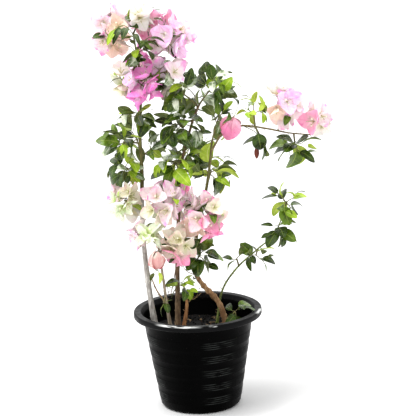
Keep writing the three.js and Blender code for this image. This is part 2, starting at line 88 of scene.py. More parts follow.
LIMBS = {
    "left_stem": taper(
        [(-99, -10, SOIL_TOP), (-112, -10, 296), (-120, 0, 425), (-116, 5, 560), (-116, 0, 656),
         (-109, 0, 770), (-121, 0, 884)], (7, 1.8), "#a5a09a #d6d2cc #75706a", "bark_grey",
        burls=[(0.172, 0.3, 3), (0.42, 0.22, 3)], young_from=0.42),
    "front_stem": taper(
        [(-62, -45, SOIL_TOP), (-71, -50, 263), (-77, -47, 325), (-85, -40, 395)],
        (4.2, 1.9), "#857662 #b5a690 #4d4234", "bark_tan"),
    "centre_stem": taper(
        [(-48, 10, SOIL_TOP), (-43, 20, 334), (-36, 30, 449), (-28, 25, 553), (2, 10, 664), (23, 5, 715)],
        (6, 2.2), "#66503b #8d755a #372a1f", "bark_brown"),
    "stump_stem": taper(
        [(-36, -20, SOIL_TOP), (-25, -25, 240), (-26, -25, 280)],
        (4.4, 3), "#94623c #bb8a5c #57361f", "bark_rust"),
    "main_stem": taper(
        [(69, -15, SOIL_TOP), (50, -20, 247), (4, -20, 309), (-3, -15, 371), (33, -15, 529), (48, -20, 631)],
        (7.2, 2.4), "#83603f #b08d66 #4a3422", "bark_rust",
        burls=[(0.25, 0.3, 4), (0.29, 0.42, 5), (0.335, 0.36, 4), (0.385, 0.2, 3)], young_from=0.6),
    "right_bough": taper(
        [(76, -25, 654), (120, -30, 668), (175, -30, 659), (225, -20, 645), (280, -10, 636)],
        (2.6, 1.4), "#6f6140 #94875c #41371f", "green_wood", root=("main_stem", 0.95)),
    "right_shoot": taper(
        [(44, 35, SOIL_TOP), (59, 45, 257), (96, 55, 309), (147, 65, 351), (189, 65, 388), (216, 56, 458)],
        (2.6, 1.3), "#657336 #8d9a52 #454a26", "green_wood"),
}
LIMB = Values(flare=0.6, flare_height=14, probe_spacing=9)


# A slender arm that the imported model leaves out: its limb and how far along that, the places that it passes,
# its radii, and the number, size, breadth and kind of its leaves. Bare arms are dry and forked.
def arm(limb, at, places, radii, leaves=0, size=1.0, broad=0.68, kind=""):
    steps, sides = 4 * len(places), 6
    return Values(**locals())


ARMS = [
    arm("left_stem", 0.94, [(-108, -34, 862), (-120, -58, 893), (-138, -66, 914), (-158, -66, 908)],
        (1.4, 0.7), 9, 0.85),
    arm("left_stem", 0.93, [(-96, -40, 872), (-84, -58, 884)], (1.1, 0.6), 3, 0.8),
    arm("front_stem", 0.3, [(-80, -50, 272), (-92, -50, 291), (-102, -50, 318)], (2.4, 1.4)),
    arm("stump_stem", 0.62, [(-17, -27, 258), (-5, -29, 263), (10, -27, 275)], (1.4, 0.7)),
    arm("stump_stem", 0.8, [(-36, -32, 268), (-44, -34, 281)], (1.2, 0.7)),
    arm("right_bough", 0.4, [(150, -42, 662), (152, -48, 657)], (1.1, 0.8), 1, 1.08, 1.25, "dark"),
    arm("right_bough", 0.4, [(150, -36, 650), (150, -36, 622)], (1.0, 0.7), 1, 0.62, 0.8, "dried"),
    arm("main_stem", 0.42, [(-22, -30, 330), (-34, -32, 352)], (1.2, 0.6)),
    arm("centre_stem", 0.22, [(-62, 12, 262), (-70, 8, 288)], (1.3, 0.6)),
]
ARM = Values(first=1, spread=0.72, ahead=0.7, sink=0.75, turn=0.5, least_leaf=0.85, more_leaf=0.3,
             young_leaves=2, young_fresh=0.9, fresh=0.05, face_out=0.6, face_side=0.4, hang_side=0.2,
             forks=(0.45, 0.75), fork_ahead=0.9, fork_least=7, fork_more=9, fork_bend=1.2, seed=131,
             more_seed=17)


# A mass of leaves and blossom: how far along its limb it springs, its middle and half sizes, its numbers of
# twigs, leaves and flowers, its leaves' size, its seed, its sprays' kinds of bract in turn, its share of
# fresh leaves, how much its flowers, at most, and its leaves are enlarged, how broad its leaves are, and
# whether it is sparse, with one finer twig a twig and young leaves
def mass(at, centre, half, twigs, leaves, flowers, leaf_size, seed, bracts="", fresh=0.12, bloom=1.15,
         blade=1.12, broad=1.0, sparse=False):
    centre, half, bracts = np.array(centre, float), np.array(half, float), bracts.split()
    return Values(**locals())


MASSES = {
    "left_stem": {
        "top_blossom_left": mass(
            0.97, (-164, -10, 894), (54, 50, 50), 5, 4, 7, 0.7, 3, "pale peach peach blush peach", 0.3, 1.5),
        "top_blossom_crown": mass(
            1, (-106, 2, 910), (50, 52, 40), 4, 3, 7, 0.7, 5, "white blush peach rose", 0.3, 1.6),
        "top_blossom_right": mass(
            0.95, (-44, -6, 874), (54, 50, 52), 5, 4, 7, 0.7, 2, "rose orchid pale pale orchid", bloom=1.4),
        "leader_leaves": mass(0.93, (-108, -24, 846), (38, 38, 30), 4, 8, 0, 0.8, 4),
        "upper_blossom_left": mass(
            0.82, (-106, -36, 772), (46, 36, 50), 4, 4, 7, 0.7, 6, "magenta orchid magenta magenta",
            bloom=1.3),
        "upper_blossom_right": mass(
            0.84, (-48, -10, 796), (44, 44, 42), 4, 4, 5, 0.8, 7, "pale orchid pale orchid", bloom=1.3),
        "upper_blossom_pale": mass(
            0.8, (-150, 12, 774), (30, 34, 44), 3, 4, 3, 0.6, 9, "white cream greenish", bloom=1.25),
        "leader_back": mass(
            0.85, (-104, 54, 790), (44, 36, 54), 4, 5, 4, 0.8, 10, "magenta pale orchid blush", bloom=1.2),
        "left_leaves_upper": mass(0.7, (-118, -6, 694), (44, 44, 34), 5, 14, 0, 0.85, 11),
        "left_leaves_outer": mass(0.62, (-156, -6, 634), (42, 42, 38), 5, 12, 0, 0.85, 12, fresh=0.3),
        "left_leaves_low": mass(0.5, (-156, 0, 572), (40, 42, 38), 5, 11, 0, 0.85, 13, fresh=0.2),
        "left_leaves_inner": mass(0.56, (-86, -6, 618), (28, 38, 36), 4, 9, 0, 0.8, 14, fresh=0.25),
        "left_leaves_back": mass(0.58, (-128, 62, 630), (40, 34, 56), 4, 7, 0, 0.95, 15),
        "low_blossom_left": mass(
            0.42, (-160, -12, 498), (44, 44, 46), 4, 5, 6, 0.7, 25, "cream blush greenish white", 0.6, 1.35),
    },
    "centre_stem": {
        "centre_crown_left": mass(0.97, (-26, -4, 752), (46, 50, 46), 5, 14, 0, 0.9, 16),
        "centre_crown_right": mass(1, (58, -4, 758), (48, 50, 46), 5, 14, 0, 0.9, 17, fresh=0.22),
        "centre_heart": mass(0.84, (-20, -8, 668), (56, 52, 48), 6, 15, 0, 0.95, 18, fresh=0.08),
        "centre_low": mass(0.6, (-38, -4, 580), (52, 50, 50), 6, 15, 0, 0.95, 20, fresh=0.2),
        "back_crown": mass(0.95, (14, 92, 716), (56, 42, 60), 4, 9, 0, 1, 22),
        "back_heart": mass(0.7, (8, 92, 592), (54, 42, 62), 4, 9, 0, 1, 23),
        "back_blossom": mass(
            0.42, (-48, 92, 470), (56, 44, 56), 5, 6, 6, 0.9, 24, "pale rose cream blush peach"),
        "low_blossom_middle": mass(
            0.42, (-72, -36, 494), (48, 46, 46), 5, 6, 7, 0.8, 26, "pale blush pale greenish cream", 0.3,
            1.4),
    },
    "main_stem": {
        "centre_right": mass(1, (66, 0, 684), (34, 44, 42), 4, 11, 0, 0.85, 19),
        "centre_low_right": mass(0.78, (44, -8, 560), (44, 44, 50), 5, 13, 0, 0.95, 21, fresh=0.25),
        "low_blossom_right": mass(
            0.64, (24, -44, 458), (46, 46, 52), 5, 5, 8, 0.8, 27, "blush blush cream peach rose", bloom=1.45),
        "low_blossom_foot": mass(
            0.55, (-40, -46, 392), (48, 42, 42), 5, 6, 7, 0.85, 29, "cream cream peach rose peach",
            bloom=1.4),
        "low_leaves": mass(
            0.5, (10, -28, 366), (36, 36, 44), 4, 10, 0, 0.9, 31, fresh=0, blade=1.3, sparse=True),
        "sucker": mass(
            0.05, (88, -24, 226), (28, 28, 26), 3, 7, 0, 0.65, 44, fresh=0.15, blade=1.4, sparse=True),
    },
    "front_stem": {
        "low_blossom_front": mass(
            1, (-112, -48, 424), (40, 40, 38), 4, 4, 5, 0.8, 28, "pale greenish blush pale", 0.4, 1.4),
        "low_bud": mass(
            0.88, (-92, -58, 342), (36, 34, 38), 2, 2, 1, 0.6, 30, "lantern", 0.8, 1.45, sparse=True),
        "foot_leaf": mass(0.4, (-78, -62, 264), (22, 22, 22), 2, 2, 0, 0.55, 43, blade=1.3, sparse=True),
    },
    "stump_stem": {
        "foot_leaves": mass(
            1, (-32, -28, 296), (36, 34, 26), 4, 10, 0, 0.65, 42, fresh=0.5, blade=1.25, sparse=True),
    },
    "right_bough": {
        "bough_bloom": mass(
            0.18, (94, -50, 690), (38, 38, 38), 2, 3, 1, 0.8, 32, "closed_rose", bloom=2.1, sparse=True),
        "bough_leaves": mass(0.5, (146, -24, 702), (38, 40, 30), 4, 10, 0, 0.65, 33, fresh=0.6),
        "bough_blossom": mass(
            0.7, (214, -26, 714), (46, 46, 48), 5, 5, 7, 0.6, 34, "white orchid orchid peach blush"),
        "bough_leaf_low": mass(0.5, (162, -40, 636), (32, 34, 36), 2, 2, 0, 1.15, 35, fresh=0, sparse=True),
        "bough_leaves_far": mass(
            0.84, (238, -20, 612), (38, 38, 28), 4, 10, 0, 0.75, 36, fresh=0.15, blade=1.45, broad=1.2,
            sparse=True),
        "bough_tip": mass(1, (292, -10, 672), (38, 38, 38), 4, 4, 4, 0.6, 37, "pale blush rose white", 0.5),
    },
    "right_shoot": {
        "shoot_leaf_low": mass(0.42, (96, 50, 334), (24, 26, 22), 2, 4, 0, 0.6, 38, blade=1.4, sparse=True),
        "shoot_leaves_middle": mass(
            0.6, (142, 62, 336), (32, 32, 28), 3, 7, 0, 0.65, 39, blade=1.45, sparse=True),
        "shoot_leaves_high": mass(
            0.8, (196, 62, 400), (34, 32, 30), 3, 7, 0, 0.65, 40, blade=1.5, sparse=True),
        "shoot_tip": mass(
            1, (216, 56, 464), (42, 38, 42), 5, 13, 0, 0.6, 41, fresh=0.3, blade=1.55, sparse=True),
    },
}

# A mass's own space is its rounded outline, a little enlarged and cut off short of each neighbour.
SPACE = Values(enlarge=1.25, margin=0.8)

# A mass's stem, twigs, leaves and flowers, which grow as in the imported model
STEM = Values(radii=(2.3, 1.5), steps=6, sides=6, rise=0.08, probes=12, skipped=3)
TWIG = Values(rise=0.14, clear=2.9, shortest=10, root_at=0.97, root_spread=0.4, short_of_leaf=0.6,
              short_of_bract=0.72, least_reach=0.8, reach_spread=0.3, height_spread=0.3, probes=8, seed=101,
              radii=(1.35, 0.85), steps=5, sides=5, skipped=3, hidden=2)
LEAF = Values(length=46, width=34, thick=1.6, droop=0.12, widest=0.42, along=0.5, outward=0.5, lowest=-0.25,
              highest=0.05, face_up=0.7, face_out=0.75, least=0.8, spread=0.35, first=0.96, last=0.36)
FLOWER = Values(bracts=3, length=38, width=35, widest=0.5, lean=44, lean_spread=14, neck=5, core=2.2,
                spacing=0.35, end_tilt=0.2, side_tilt=0.9, more_tilt=0.15, least=0.88, spread=0.2)

# How near blades come to limbs and stems, and to what has grown in their own mass
BLADE_CLEAR = Values(limb=4.1, own=5)

# How many times a twig, leaf or flower is tried, and how much smaller each further try is
TRIES = 24
SHRINK = 0.015

# Finer twigs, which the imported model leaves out: how many spring from a twig and where, their lengths and
# ways, and the places, sizes and room of their leaves and flowers
FINE = Values(twigs=2, blossom_twigs=3, sparse_twigs=1, first=0.92, last=0.4, least=12, most=26, ahead=0.5,
              outward=0.4, up=0.2, clear=1.6, own=3, leaves_at=(0.96,), beside_flower=(0.3, 0.6),
              leaf_size=0.88, young_leaf=0.66, flower_size=0.82, radii=(0.85, 0.5), steps=4, sides=4,
              skipped=2)

# An enlarged flower reaches no further than this out of its mass's outline, unless it is of the least size.
BLOOM = Values(proud=14, step=0.05, least=1.05)

# No leaf comes this near to the heart of a flower, which is this far up from the flower's foot.
HEART = Values(up=13, room=14)

# The kinds of flower that are still closed, and how far each turns up, or down where it is below zero
CLOSED = {"lantern": 2.5, "closed_rose": -1.6}

# How the blades bend: the least of each amount, what chance adds at most, and the power of that chance
LEAF_BENDS = {"droop": (0.06, 0.384, 1), "fold": (0.03, 0.3, 2), "twist": (-0.3, 0.6, 1),
              "arch": (0, 0.16, 1), "wave": (0.004, 0.016, 1), "waves": (1, 1, 1), "phase": (0, FULL_TURN, 1)}
BRACT_BENDS = {"fold": (0.05, 0.2, 1), "cup": (0.03, 0.1, 1), "arch": (-0.04, -0.07, 1),
               "droop": (0.08, 0.26, 1), "twist": (-0.25, 0.5, 1), "wave": (0.025, 0.04, 1),
               "waves": (1.5, 1, 1), "phase": (0, FULL_TURN, 1)}
CLOSED_BENDS = {"fold": 0.05, "cup": 0.34, "arch": -0.32, "droop": -0.38, "wave": 0.01, "twist": 0}

# The angle by which the two sides of a blade wave out of step
SIDE_SHIFT = 1.3

# The drawn leaf with its stalk, the bract, the tube on each bract, and the star that some tubes open in
BLADE_LEAF = Values(least_width=0.62, more_width=0.4, length=0.98, stalk=0.14, stalk_in=0.05,
                    stalk_radii=(0.75, 0.6, 0.5))
BRACT = Values(least=0.95, more=0.14, thick=0.3, narrow=0.62, closed_along=0.616, closed_up=0.704)
TUBE = Values(length=17, lean=0.35, bulge=1.2, places=(0, 0.35, 0.7, 1), radii=(0.7, 1, 0.7, 0.9))
STAR = Values(share=0.35, points=5, radius=3.2, inner=0.45, heart_up=0.4, point_up=1.2, notch_up=0.5)

# The share of leaves patched with painted glare (whitish highlights), and the share of the others that are
# middle green
PALE_SHARE = 0.2
MIDDLE_SHARE = 0.32
LOOKS_SEED = 577

# Bark: its knots and its long ridges, each ridge's fineness across and along and its height
BARK = Values(sides=18, spacing=2.6, ridge=0.1, ridges=((1.9, 0.045, 1), (4, 0.16, 0.5)), knot=0.16,
              knot_pitch=31, least_pitch=0.6, more_pitch=0.8, knot_width=3.2, behind=0.45, in_front=0.55,
              young_edge=0.012, end=0.4)

# Dry spurs: their spacing, lengths and radii, how deep they are rooted, and where and how much they bend
SPURS = Values(pitch=16, least_pitch=0.5, more_pitch=1.4, shortest=3.5, longest=12, radii=(0.8, 0.56, 0.15),
               above_soil=20, rooted=0.7, bend_at=0.6, ahead=0.5, tip_ahead=1.2)

# The pot's painted glints, reflected light painted on its rib crests and rim, run from one share of a turn to
# another, with a strength. They reach down and in from the rim's upper edge, and every other rib is marked
# less.
WORN_WALL = [(0.75, 0.885, 0.52), (0.525, 0.615, 0.7), (0.1, 0.3, 0.5)]
# The rim's parts are painted highlights: pale reflections on its upper edge.
WORN_RIM = [(0.63, 0.765, 0.95), (0.775, 0.8, 0.7), (0.93, 0.995, 0.9), (0.2, 0.3, 0.5)]
MARK = Values(down=3, inward=6, wall_end=2, other_rib=0.4)

# The soil's rings and lumps, each lump's height and width, and what lies on it
SOIL = Values(sides=110, rings=34, lumps=((2.2, 19), (1.5, 6)), sunk=1.5)
LITTER = Values(crumbs=420, least=1.2, more=3, sunk=1, up=0.4, rough=0.6, spread=0.98, dark_share=0.94,
                sticks=16, stick_least=14, stick_more=30, stick_radii=(1.1, 0.9, 0.4), stick_spread=0.8,
                stick_up=1.5, bend=0.25, rise=0.12, short_of_wall=10, seed=7)

# Colours. A leaf's deep green, light green and ribs, and its gloss; a bract's heart, middle, edge and veins
LEAF_KINDS = {
    "dark": ("#1a2a06 #36500e #78863c", 0.2),
    "middle": ("#3e560c #628020 #98a84a", 0.22),
    "fresh": ("#7d9f16 #a8c530 #cfdd78", 0.32),
    # The pale kind's light green is painted glare: whitish highlights painted into its upper side.
    "pale": ("#47602a #d9e2c8 #eef2e0", 0.26),
    "under": ("#4d5c2a #788448 #a0a970", 0.6),
    "dried": ("#5a221a #7a3a28 #94604a", 0.6),
    "fresh_under": ("#9db634 #c0d354 #dce690", 0.58),
}
BRACT_KINDS = {
    "magenta": "#fedcf2 #ff94dd #fd58c2 #ee4eae",
    "orchid": "#fff6fb #fdd2f2 #fb9ce0 #ec84ce",
    "rose": "#fde6e4 #fba0c2 #ee5f9c #e2508c",
    "pale": "#f5eedc #f8e2ea #f48fd0 #ee9ac6",
    "white": "#ecdcb8 #f6f2ec #f8e6ec #d2d49c",
    "cream": "#e8e8b8 #f5ebd8 #f8cccc #d2ce90",
    "peach": "#fae6cc #fbd9c6 #f9c2c0 #eeaaa0",
    "greenish": "#c9df8c #eff7dc #fbfaf4 #a4c262",
    "blush": "#f4ecd8 #f7dfe4 #f184c0 #eca2c6",
    "lantern": "#dc6476 #edaca8 #f6e8d8 #d47e84",
    "closed_rose": "#fbb4cc #f884b2 #ee5f9a #e04f8a",
}

# The materials' numbers in their pieces
LEAF_NUMBERS = {kind: number for number, kind in enumerate(LEAF_KINDS)}
BRACT_NUMBERS = {kind: number for number, kind in enumerate(BRACT_KINDS)}
TUBE_SKIN, STAR_SKIN = len(BRACT_KINDS), len(BRACT_KINDS) + 1
WOOD, GREEN_WOOD, DRY_WOOD = 0, 1, 2
OLD_BARK, SPUR_WOOD, YOUNG_BARK = 0, 1, 2


# Vectors
def vec(x, y, z):
    return np.array((x, y, z), float)


def unit(v):
    return v / sqrt(v @ v)


def cross(a, b):
    return vec(a[1] * b[2] - a[2] * b[1], a[2] * b[0] - a[0] * b[2], a[0] * b[1] - a[1] * b[0])


# The direction of a sum of vectors, each with its amount
def blend(*terms):
    return unit(sum(amount * v for amount, v in terms))


# The direction nearest to a that lies square to b
def square_to(b, a):
    if abs(a @ b) > 0.999 * sqrt(a @ a):
        a = vec(1, 0, 0)
    return unit(a - b * (a @ b) / (b @ b))


# The direction at an angle round an axis, counted from the upward side
def round_axis(axis, angle):
    top = square_to(axis, UP)
    return blend((cos(angle), top), (sin(angle), cross(axis, top)))


# The squared distances between points and places
def gaps(points, places):
    return ((points[:, None, :] - places[None, :, :]) ** 2).sum(2)


# Even chances from 0 to 1 that a seed fixes
def chances(seed):
    state = (seed * 2654435761) & 0xFFFFFFFF

    def draw():
        nonlocal state
        state = (state * 1664525 + 1013904223) & 0xFFFFFFFF
        return ((state >> 8) & 0xFFFF) / 0x10000

    return draw


# Curves
class Arch:
    """A curve that leaves one place and arches over to another."""

    def __init__(self, start, end, rise):
        away = end - start
        self.ends = start, (start + end) / 2 + UP * rise * sqrt(away @ away), end

    def point(self, t):
        start, over, end = self.ends
        return (1 - t) ** 2 * start + 2 * t * (1 - t) * over + t * t * end

    def points(self, count):
        return np.array([self.point(i / count) for i in range(count + 1)])

    def tangent(self, t, step=0.0001):
        return unit(self.point(min(t + step, 1)) - self.point(max(t - step, 0)))

    def length(self, steps=200):
        return float(np.sqrt((np.diff(self.points(steps), axis=0) ** 2).sum(1)).sum())


class Through(Arch):
    """A smooth curve through a few places."""

    def __init__(self, places):
        p = np.array(places, float)
        self.places = np.array([2 * p[0] - p[1], *p, 2 * p[-1] - p[-2]])

    def point(self, t):
        along = (len(self.places) - 3) * t
        i = min(int(along), len(self.places) - 4)
        w = along - i
        before, p, q, after = self.places[i:i + 4]
        out, into = (q - before) / 2, (after - p) / 2
        return p + out * w + (3 * (q - p) - 2 * out - into) * w * w + (2 * (p - q) + out + into) * w ** 3


# Growth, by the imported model's rule
def radius_at(limb, t):
    foot, tip = limb.radii
    height = limb.curve.point(t)[2] - SOIL_TOP
    flare = 0 if limb.root else LIMB.flare * foot * exp(-height / LIMB.flare_height)
    return foot + (tip - foot) * t + flare


# Places along limbs and stems that twigs and leaves keep clear of, with their radii and their masses' seeds
def kept_places():
    kept = []
    for limb in LIMBS.values():
        count = round(limb.curve.length() / LIMB.probe_spacing)
        kept += [(*limb.curve.point(i / count), radius_at(limb, i / count), -1) for i in range(count + 1)]
    for owner in every_mass:
        kept += [(*place, STEM.radii[0], owner.seed) for place in owner.stem.points(STEM.probes)]
    return np.array(kept)


def reach(owner, way):
    across = owner.half * way
    return sqrt(across @ across)


# What a mass keeps clear of, and the planes that part it from its neighbours
def settle_space(owner, kept):
    others = kept[kept[:, 4] != owner.seed]
    owner.kept = others[:, :3], others[:, 3]
    ways, limits = [], []
    for other in every_mass:
        if other is not owner:
            apart = other.centre - owner.centre
            way = unit(apart)
            own = reach(owner, way)
            ways.append(way)
            limits.append(sqrt(apart @ apart) * own / (own + reach(other, way)) - SPACE.margin)
    owner.planes = np.array(ways), np.array(limits)


def is_clear(owner, points, room):
    places, radii = owner.kept
    return (gaps(points, places) > (radii + room) ** 2).all()


def in_space(owner, points):
    off = points - owner.centre
    ways, limits = owner.planes
    is_inside = ((off / owner.half) ** 2).sum(1) <= SPACE.enlarge ** 2
    return is_inside.all() and (off @ ways.T < limits).all()


# A leaf's corners: its root, two shoulders round its tip, and a keel under its middle
def leaf_corners(leaf):
    length = LEAF.length * leaf.size
    side = cross(leaf.face, leaf.along) * (LEAF.width * leaf.size / 2)
    broad = leaf.root + leaf.along * length * LEAF.widest
    tip = leaf.root + leaf.along * length - leaf.face * length * LEAF.droop
    return [leaf.root, broad - side, tip, broad + side, broad - leaf.face * LEAF.thick]


# A flower's bracts, each with its place, directions and corners: a heart, two shoulders round a tip, a middle
def bracts_of(flower):
    neck = flower.foot + flower.axis * FLOWER.neck
    heart = neck + flower.axis * FLOWER.core
    for b in range(FLOWER.bracts):
        out = round_axis(flower.axis, flower.start + FULL_TURN * b / FLOWER.bracts)
        along = blend((cos(flower.lean), flower.axis), (sin(flower.lean), out))
        side = cross(flower.axis, out)
        middle = neck + along * FLOWER.length * FLOWER.widest * flower.size
        tip = neck + along * FLOWER.length * flower.size
        shoulder = side * (FLOWER.width * flower.size / 2)
        corners = [heart, middle - shoulder, tip, middle + shoulder, heart + (tip - heart) * FLOWER.widest]
        yield Values(root=neck, along=along, side=side, corners=corners)


# Places spread over a blade, at which it is tested
def places_on(corners):
    root, first, tip, second, middle = corners
    pairs = (root, middle), (middle, tip), (first, middle), (second, middle), (first, tip), (second, tip)
    return np.array([first, tip, second, middle] + [(a + b) / 2 for a, b in pairs])


def blade_fits(owner, twig, corners, room):
    places = places_on(corners)
    if not in_space(owner, np.array(corners[1:4])) or not is_clear(owner, places, BLADE_CLEAR.limb):
        return False
    grown = np.concatenate([points for other, points in owner.taken if other is not twig])
    return (gaps(places, grown) > room ** 2).all()


def first_that_fits(attempt):
    return next(filter(None, map(attempt, range(TRIES))), None)


# A twig that arches to its end, if its outer part, past its first few places, has room
def twig_to(owner, start, end, way, k, draw, skipped, room):
    curve = Arch(start, end, TWIG.rise)
    outer = curve.points(TWIG.probes)[skipped:]
    fits = in_space(owner, outer) and is_clear(owner, outer, room)
    return Values(curve=curve, way=way, k=k, draw=draw) if fits else None


# A twig from the mass's stem to a place near the edge of its space. The twigs are spread evenly over a ball.
def grow_twig(owner, k):
    draw = chances(owner.seed * TWIG.seed + k)
    height = 1 - 2 * (k + 0.5) / owner.twigs
    level = sqrt(1 - height * height)
    short_of_leaf = TWIG.short_of_leaf * LEAF.length * owner.leaf_size
    tip_room = TWIG.short_of_bract * FLOWER.length if owner.flowers else short_of_leaf
    root = owner.stem.point(TWIG.root_at - TWIG.root_spread * ((k * 3) % owner.twigs) / owner.twigs)

    def attempt(i):
        turn = GOLDEN_ANGLE * k + owner.seed + (FULL_TURN * draw() if i else 0)
        rise = height + TWIG.height_spread * (draw() - 0.5)
        way = unit(vec(level * cos(turn), level * sin(turn), rise))
        share = TWIG.least_reach + TWIG.reach_spread * draw()
        far = max(TWIG.shortest, (reach(owner, way) - tip_room) * share)
        return twig_to(owner, root, owner.centre + way * far, way, k, draw, TWIG.skipped, TWIG.clear)

    return first_that_fits(attempt)


# A finer twig out of a twig's side
def grow_fine_twig(owner, twig, at):
    along, root = twig.curve.tangent(at), twig.curve.point(at)

    def attempt(i):
        side = round_axis(along, FULL_TURN * twig.draw())
        way = blend((1, side), (FINE.ahead, along), (FINE.outward, twig.way), (FINE.up, UP))
        far = (FINE.least + (FINE.most - FINE.least) * twig.draw()) * (1 - SHRINK * i)
        return twig_to(owner, root, root + way * far, way, twig.k, twig.draw, FINE.skipped, FINE.clear)

    return first_that_fits(attempt)


def grow_leaf(owner, twig, at, size=1.0, room=BLADE_CLEAR.own):
    draw, along = twig.draw, twig.curve.tangent(at)

    def attempt(i):
        lift = LEAF.lowest + (LEAF.highest - LEAF.lowest) * draw()
        direction = blend((1, round_axis(along, FULL_TURN * draw())), (LEAF.along, along),
                          (LEAF.outward, twig.way), (lift, UP))
        face = square_to(direction, blend((LEAF.face_up, UP), (LEAF.face_out, twig.way)))
        share = (LEAF.least + LEAF.spread * draw()) * (1 - SHRINK * i)
        leaf = Values(root=twig.curve.point(at), along=direction, face=face)
        leaf.size = owner.leaf_size * size * share
        return leaf if blade_fits(owner, twig, leaf_corners(leaf), room) else None

    leaf = first_that_fits(attempt)
    if leaf:
        leaf.places = places_on(leaf_corners(leaf))
        owner.grown_leaves.append(leaf)
        owner.taken.append((None, leaf.places))


def grow_flower(owner, twig, at, size=1.0, room=BLADE_CLEAR.own):
    draw = twig.draw

    def attempt(i):
        tilt = (FLOWER.side_tilt if at < 1 else FLOWER.end_tilt) + FLOWER.more_tilt * i
        axis = blend((1, twig.way), (tilt, round_axis(twig.way, FULL_TURN * draw())))
        lean = radians(FLOWER.lean + FLOWER.lean_spread * (draw() - 0.5))
        share = (FLOWER.least + FLOWER.spread * draw()) * (1 - SHRINK * i)
        flower = Values(foot=twig.curve.point(at) - axis * CLEAR, axis=axis, lean=lean, size=share * size,
                        start=FULL_TURN * draw(), k=twig.k)
        fits = all(blade_fits(owner, twig, bract.corners, room) for bract in bracts_of(flower))
        return flower if fits else None

    flower = first_that_fits(attempt)
    if flower:
        owner.grown_flowers.append(flower)
        owner.taken += [(None, places_on(bract.corners)) for bract in bracts_of(flower)]


# How many of a mass's leaves or flowers its twig number k gets, dealt out evenly
def dealt(count, k, twigs):
    return floor(count * (k + 1) / twigs + 0.5) - floor(count * k / twigs + 0.5)


def grow_mass(owner):
    owner.taken = [(None, owner.stem.points(STEM.probes)[STEM.skipped:])]
    owner.grown_flowers, owner.grown_leaves, owner.fine_twigs = [], [], []
    owner.grown_twigs = list(filter(None, (grow_twig(owner, k) for k in range(owner.twigs))))
    for twig in owner.grown_twigs:
        owner.taken.append((twig, twig.curve.points(TWIG.probes)[TWIG.hidden:]))
    for twig in owner.grown_twigs:
        for j in range(dealt(owner.flowers, twig.k, owner.twigs)):
            grow_flower(owner, twig, 1 - FLOWER.spacing * j)
    for twig in owner.grown_twigs:
        leaves = dealt(owner.leaves, twig.k, owner.twigs)
        for j in range(leaves):
            grow_leaf(owner, twig, LEAF.first - (LEAF.first - LEAF.last) * j / leaves)


# The growth carried on to finer twigs. A mass of one flower gets no more flowers.
def grow_finer(owner):
    blooms = owner.flowers > 1
    twigs = FINE.sparse_twigs if owner.sparse else FINE.blossom_twigs if owner.flowers else FINE.twigs
    size = FINE.young_leaf if owner.sparse else FINE.leaf_size
    for twig in owner.grown_twigs:
        for j in range(twigs):
            fine = grow_fine_twig(owner, twig, FINE.first - (FINE.first - FINE.last) * j / twigs)
            if not fine:
                continue
            owner.fine_twigs.append(fine)
            owner.taken.append((fine, fine.curve.points(TWIG.probes)[TWIG.hidden:]))
            if blooms:
                grow_flower(owner, fine, 1, FINE.flower_size, FINE.own)
            for at in FINE.beside_flower if blooms else FINE.leaves_at:
                grow_leaf(owner, fine, at, size, FINE.own)


# A mass's only flower is a closed one, which turns up or hangs. No leaf stays in a flower's heart.
def settle_flowers(owner):
    scale = 1
    if owner.flowers == 1:
        scale = owner.bloom
        for flower in owner.grown_flowers:
            flower.axis = blend((1, flower.axis), (CLOSED[owner.bracts[0]], UP))
    for flower in owner.grown_flowers:
        heart = flower.foot + flower.axis * HEART.up * scale
        owner.grown_leaves = [leaf for leaf in owner.grown_leaves
                              if ((leaf.places - heart) ** 2).sum(1).min() > (HEART.room * scale) ** 2]


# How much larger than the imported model's a flower is drawn
def bloom_of(owner, flower):
    if owner.flowers == 1:
        return owner.bloom
    for bloom in np.arange(owner.bloom, BLOOM.least, -BLOOM.step):
        tips = [bract.root + bract.along * FLOWER.length * flower.size * bloom for bract in bracts_of(flower)]
        off = (np.array(tips) - owner.centre) / (owner.half + BLOOM.proud)
        if ((off ** 2).sum(1) < 1).all():
            return bloom
    return min(owner.bloom, BLOOM.least)


for limb in LIMBS.values():
    start = [LIMBS[limb.root[0]].curve.point(limb.root[1])] if limb.root else []
    limb.curve = Through(start + limb.through)
for limb_name, masses in MASSES.items():
    for owner in masses.values():
        owner.stem = Arch(LIMBS[limb_name].curve.point(owner.at), owner.centre, STEM.rise)
every_mass = [owner for masses in MASSES.values() for owner in masses.values()]
kept_by_all = kept_places()
for owner in every_mass:
    settle_space(owner, kept_by_all)
    grow_mass(owner)
    grow_finer(owner)
    settle_flowers(owner)


# Materials
def rgb(colour):
    parts = [int(colour[i:i + 2], 16) / 255 for i in (1, 3, 5)]
    return tuple(p / 12.92 if p <= 0.04045 else ((p + 0.055) / 1.055) ** 2.4 for p in parts) + (1.0,)


BLADE_MAP = "blade"


